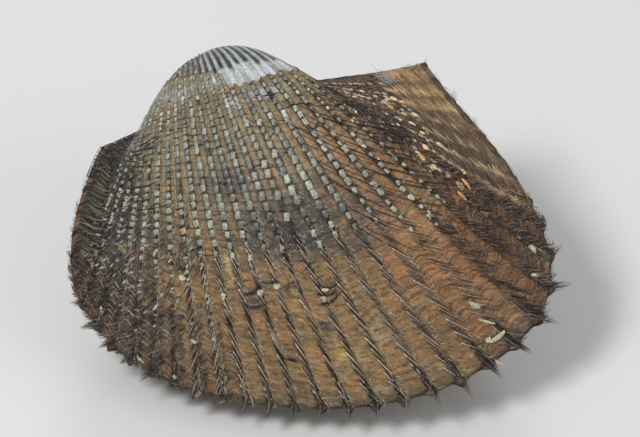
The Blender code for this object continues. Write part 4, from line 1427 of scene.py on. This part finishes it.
def addScars(hand, seed):
    pick = np.random.default_rng(seed)
    arcs = np.repeat(np.array(scars["arcs"]), scars["arcHairs"], axis=0)
    arcs = arcs + np.array(scars["arcScatter"]) * pick.standard_normal(arcs.shape)
    ribFrom, turnFrom, ribTo, turnTo, bow = arcs.T[:, :, None]
    t = np.linspace(0.0, 1.0, 12)[None, :]
    rib = between((ribFrom, ribTo), t)
    turn = between((turnFrom, turnTo), t) - 4.0 * bow * t * (1.0 - t)
    turn = turn + 0.0010 * pick.standard_normal(turn.shape)
    share = shareAt(rib)
    lift = overRidges(0.00010, ridgeAt(rib, share, turn), 0.6) * shrinkAt(turn)
    swell = np.sin(math.pi * (0.12 + 0.84 * t))
    radius = scars["arcRadius"] * swell * (0.6 + 0.6 * pick.random((len(rib), 1)))
    colour = np.tile(linear(scars["arcColour"]), (len(rib), 1))
    addBristles(hand, "Arcs", share, turn, lift, radius, colour)
    rib, turn, halfRib, halfTurn, skew, bright = np.array(scars["chips"]).T
    colour = layered(mix(scars["dull"], scars["bright"], np.abs(bright)),
                     (scars["rusty"], (bright < 0.0) * 0.85))
    height = np.full(len(rib), scars["chipHeight"])
    addPads(hand, "Chips", rib, turn, halfRib, halfTurn, skew, height, colour, 10, 2.6, 0.4, 0.5)


hands = (
    {"name": "left", "side": 1, "slot": "left_valve_skin", "node": "left_valve", "seed": 100},
    {"name": "right", "side": -1, "slot": "right_valve_skin", "node": "right_valve", "seed": 200},
)
for hand in hands:
    seed = hand["seed"]
    rowSeed = seed + 10
    addValve(hand, seed)
    addSkin(hand, rowSeed)
    print(hand["name"], "valve and skin made")
    addBeads(hand, seed + 20, rowSeed)
    for number, kind in enumerate(scales):
        addScales(hand, kind, seed + 21 + number)
    addRopes(hand, seed + 30)
    for number, kind in enumerate(hairs):
        addHairs(hand, kind, seed + 40 + number, rowSeed)
    for number, kind in enumerate(bands):
        addBands(hand, kind, seed + 90 + number)
    fringePick = np.random.default_rng(seed + 60)
    addWeb(hand, seed + 60, fringePick)
    addSpikes(hand, fringePick)
    addComb(hand, seed + 66)
    for number, kind in enumerate(strokes):
        addStrokes(hand, kind, seed + 80 + number, rowSeed)
    addThreads(hand, seed + 67)
    if hand["name"] == "left":
        addScars(hand, seed + 70)
    print(hand["name"], "beads, bristles and fringe made")


ligament = {
    "length": 0.024, "width": 0.0014, "depth": 0.0008,
    "rows": 90, "columns": 20,
    "rings": 34.0,               # their angle for each radian along it
    "ringDepth": 0.05,
    "colour": (46, 36, 30),
}


# Ligament: a closed spindle along the hinge line with fine rings round it; its radius goes with a power of
# the sine of the way along
def addLigament():
    rows, columns = ligament["rows"], ligament["columns"]
    middleX, middleY, middleZ = shell["hingeMiddle"]
    halfLength = 0.5 * ligament["length"]
    u = np.linspace(0.0, math.pi, rows + 2)[1:-1][:, None]
    v = tau * np.arange(columns)[None, :] / columns
    ringed = 1.0 + ligament["ringDepth"] * np.sin(ligament["rings"] * u) * np.sin(u)
    x = middleX - halfLength * np.cos(u) + 0.0 * v
    y = middleY + 0.5 * ligament["depth"] * np.sin(u) ** 0.7 * ringed * np.cos(v)
    z = 0.5 * ligament["width"] * np.sin(u) ** 0.7 * ringed * np.sin(v)
    ends = [[middleX - halfLength, middleY, middleZ], [middleX + halfLength, middleY, middleZ]]
    points = np.concatenate([np.stack([x, y, z], -1).reshape(-1, 3), np.array(ends)])
    count = rows * columns
    faces = [ringFaces(rows, columns), fan(0, columns, count, True),
             fan(count - columns, columns, count + 1, False)]
    tint = np.tile(linear(ligament["colour"]), (len(points), 1))
    placed = points @ leanTurn.T + restMove
    piece = addPiece("hingeLigament", placed, faces, bristleHorn, tint)
    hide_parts("ligament")


addLigament()


view = {
    "azimuth": -7.856, "elevation": 43.807, "roll": -0.992,       # degrees
    "aim": (0.001372, -0.002538, 0.018550),
    "frameWidth": 0.0753,        # what the frame spans at the aim
    "lens": 382.0,               # millimetres, as the sensor
    "sensor": 36.0,
}


def addCamera():
    azimuth, elevation = math.radians(view["azimuth"]), math.radians(view["elevation"])
    toward = Vector((math.sin(azimuth) * math.cos(elevation), -math.cos(azimuth) * math.cos(elevation),
                     math.sin(elevation)))
    camera = bpy.data.objects.new("camera", bpy.data.cameras.new("camera"))
    camera.data.lens = view["lens"]
    camera.data.sensor_width = view["sensor"]
    camera.data.clip_start = 0.01
    camera.location = Vector(view["aim"]) + toward * view["frameWidth"] * view["lens"] / view["sensor"]
    camera.rotation_euler = (-toward).to_track_quat("-Z", "Y").to_euler()
    camera.rotation_euler.rotate_axis("Z", math.radians(view["roll"]))
    bpy.context.scene.collection.objects.link(camera)
    bpy.context.scene.camera = camera


stage = {
    "floorHalf": 6.0,
    "floorRoughness": 0.9,
    "floorColour": (0.62, 0.62, 0.61, 1.0),
    "worldColour": (0.9, 0.92, 0.95, 1.0),
    "worldStrength": 0.45,
    "lights": {                  # power in watts, size, place
        "keyLight": (2.6, 0.16, (-0.28, -0.18, 0.52)),
        "fillLight": (0.9, 0.40, (0.45, -0.30, 0.35)),
        "rimLight": (1.0, 0.25, (0.10, 0.50, 0.40)),
    },
}


def addStage():
    half = stage["floorHalf"]
    mesh = bpy.data.meshes.new("floor")
    corners = [(-half, -half, 0.0), (half, -half, 0.0), (half, half, 0.0), (-half, half, 0.0)]
    mesh.from_pydata(corners, [], [(0, 1, 2, 3)])
    material, _, shader = startMaterial("paleFloor", stage["floorRoughness"])
    shader.inputs["Base Color"].default_value = stage["floorColour"]
    mesh.materials.append(material)
    floor = bpy.data.objects.new("floor", mesh)
    bpy.context.scene.collection.objects.link(floor)
    for name, (power, size, place) in stage["lights"].items():
        light = bpy.data.lights.new(name, "AREA")
        light.energy = power
        light.size = size
        lamp = bpy.data.objects.new(name, light)
        lamp.location = place
        lamp.visible_camera = False
        lamp.rotation_euler = (-Vector(place)).to_track_quat("-Z", "Y").to_euler()
        bpy.context.scene.collection.objects.link(lamp)
    world = bpy.data.worlds.new("studio")
    world.use_nodes = True
    background = world.node_tree.nodes["Background"]
    background.inputs["Color"].default_value = stage["worldColour"]
    background.inputs["Strength"].default_value = stage["worldStrength"]
    bpy.context.scene.world = world
    bpy.context.scene.view_settings.view_transform = "Standard"


addCamera()
addStage()
print("camera, floor and lights made")
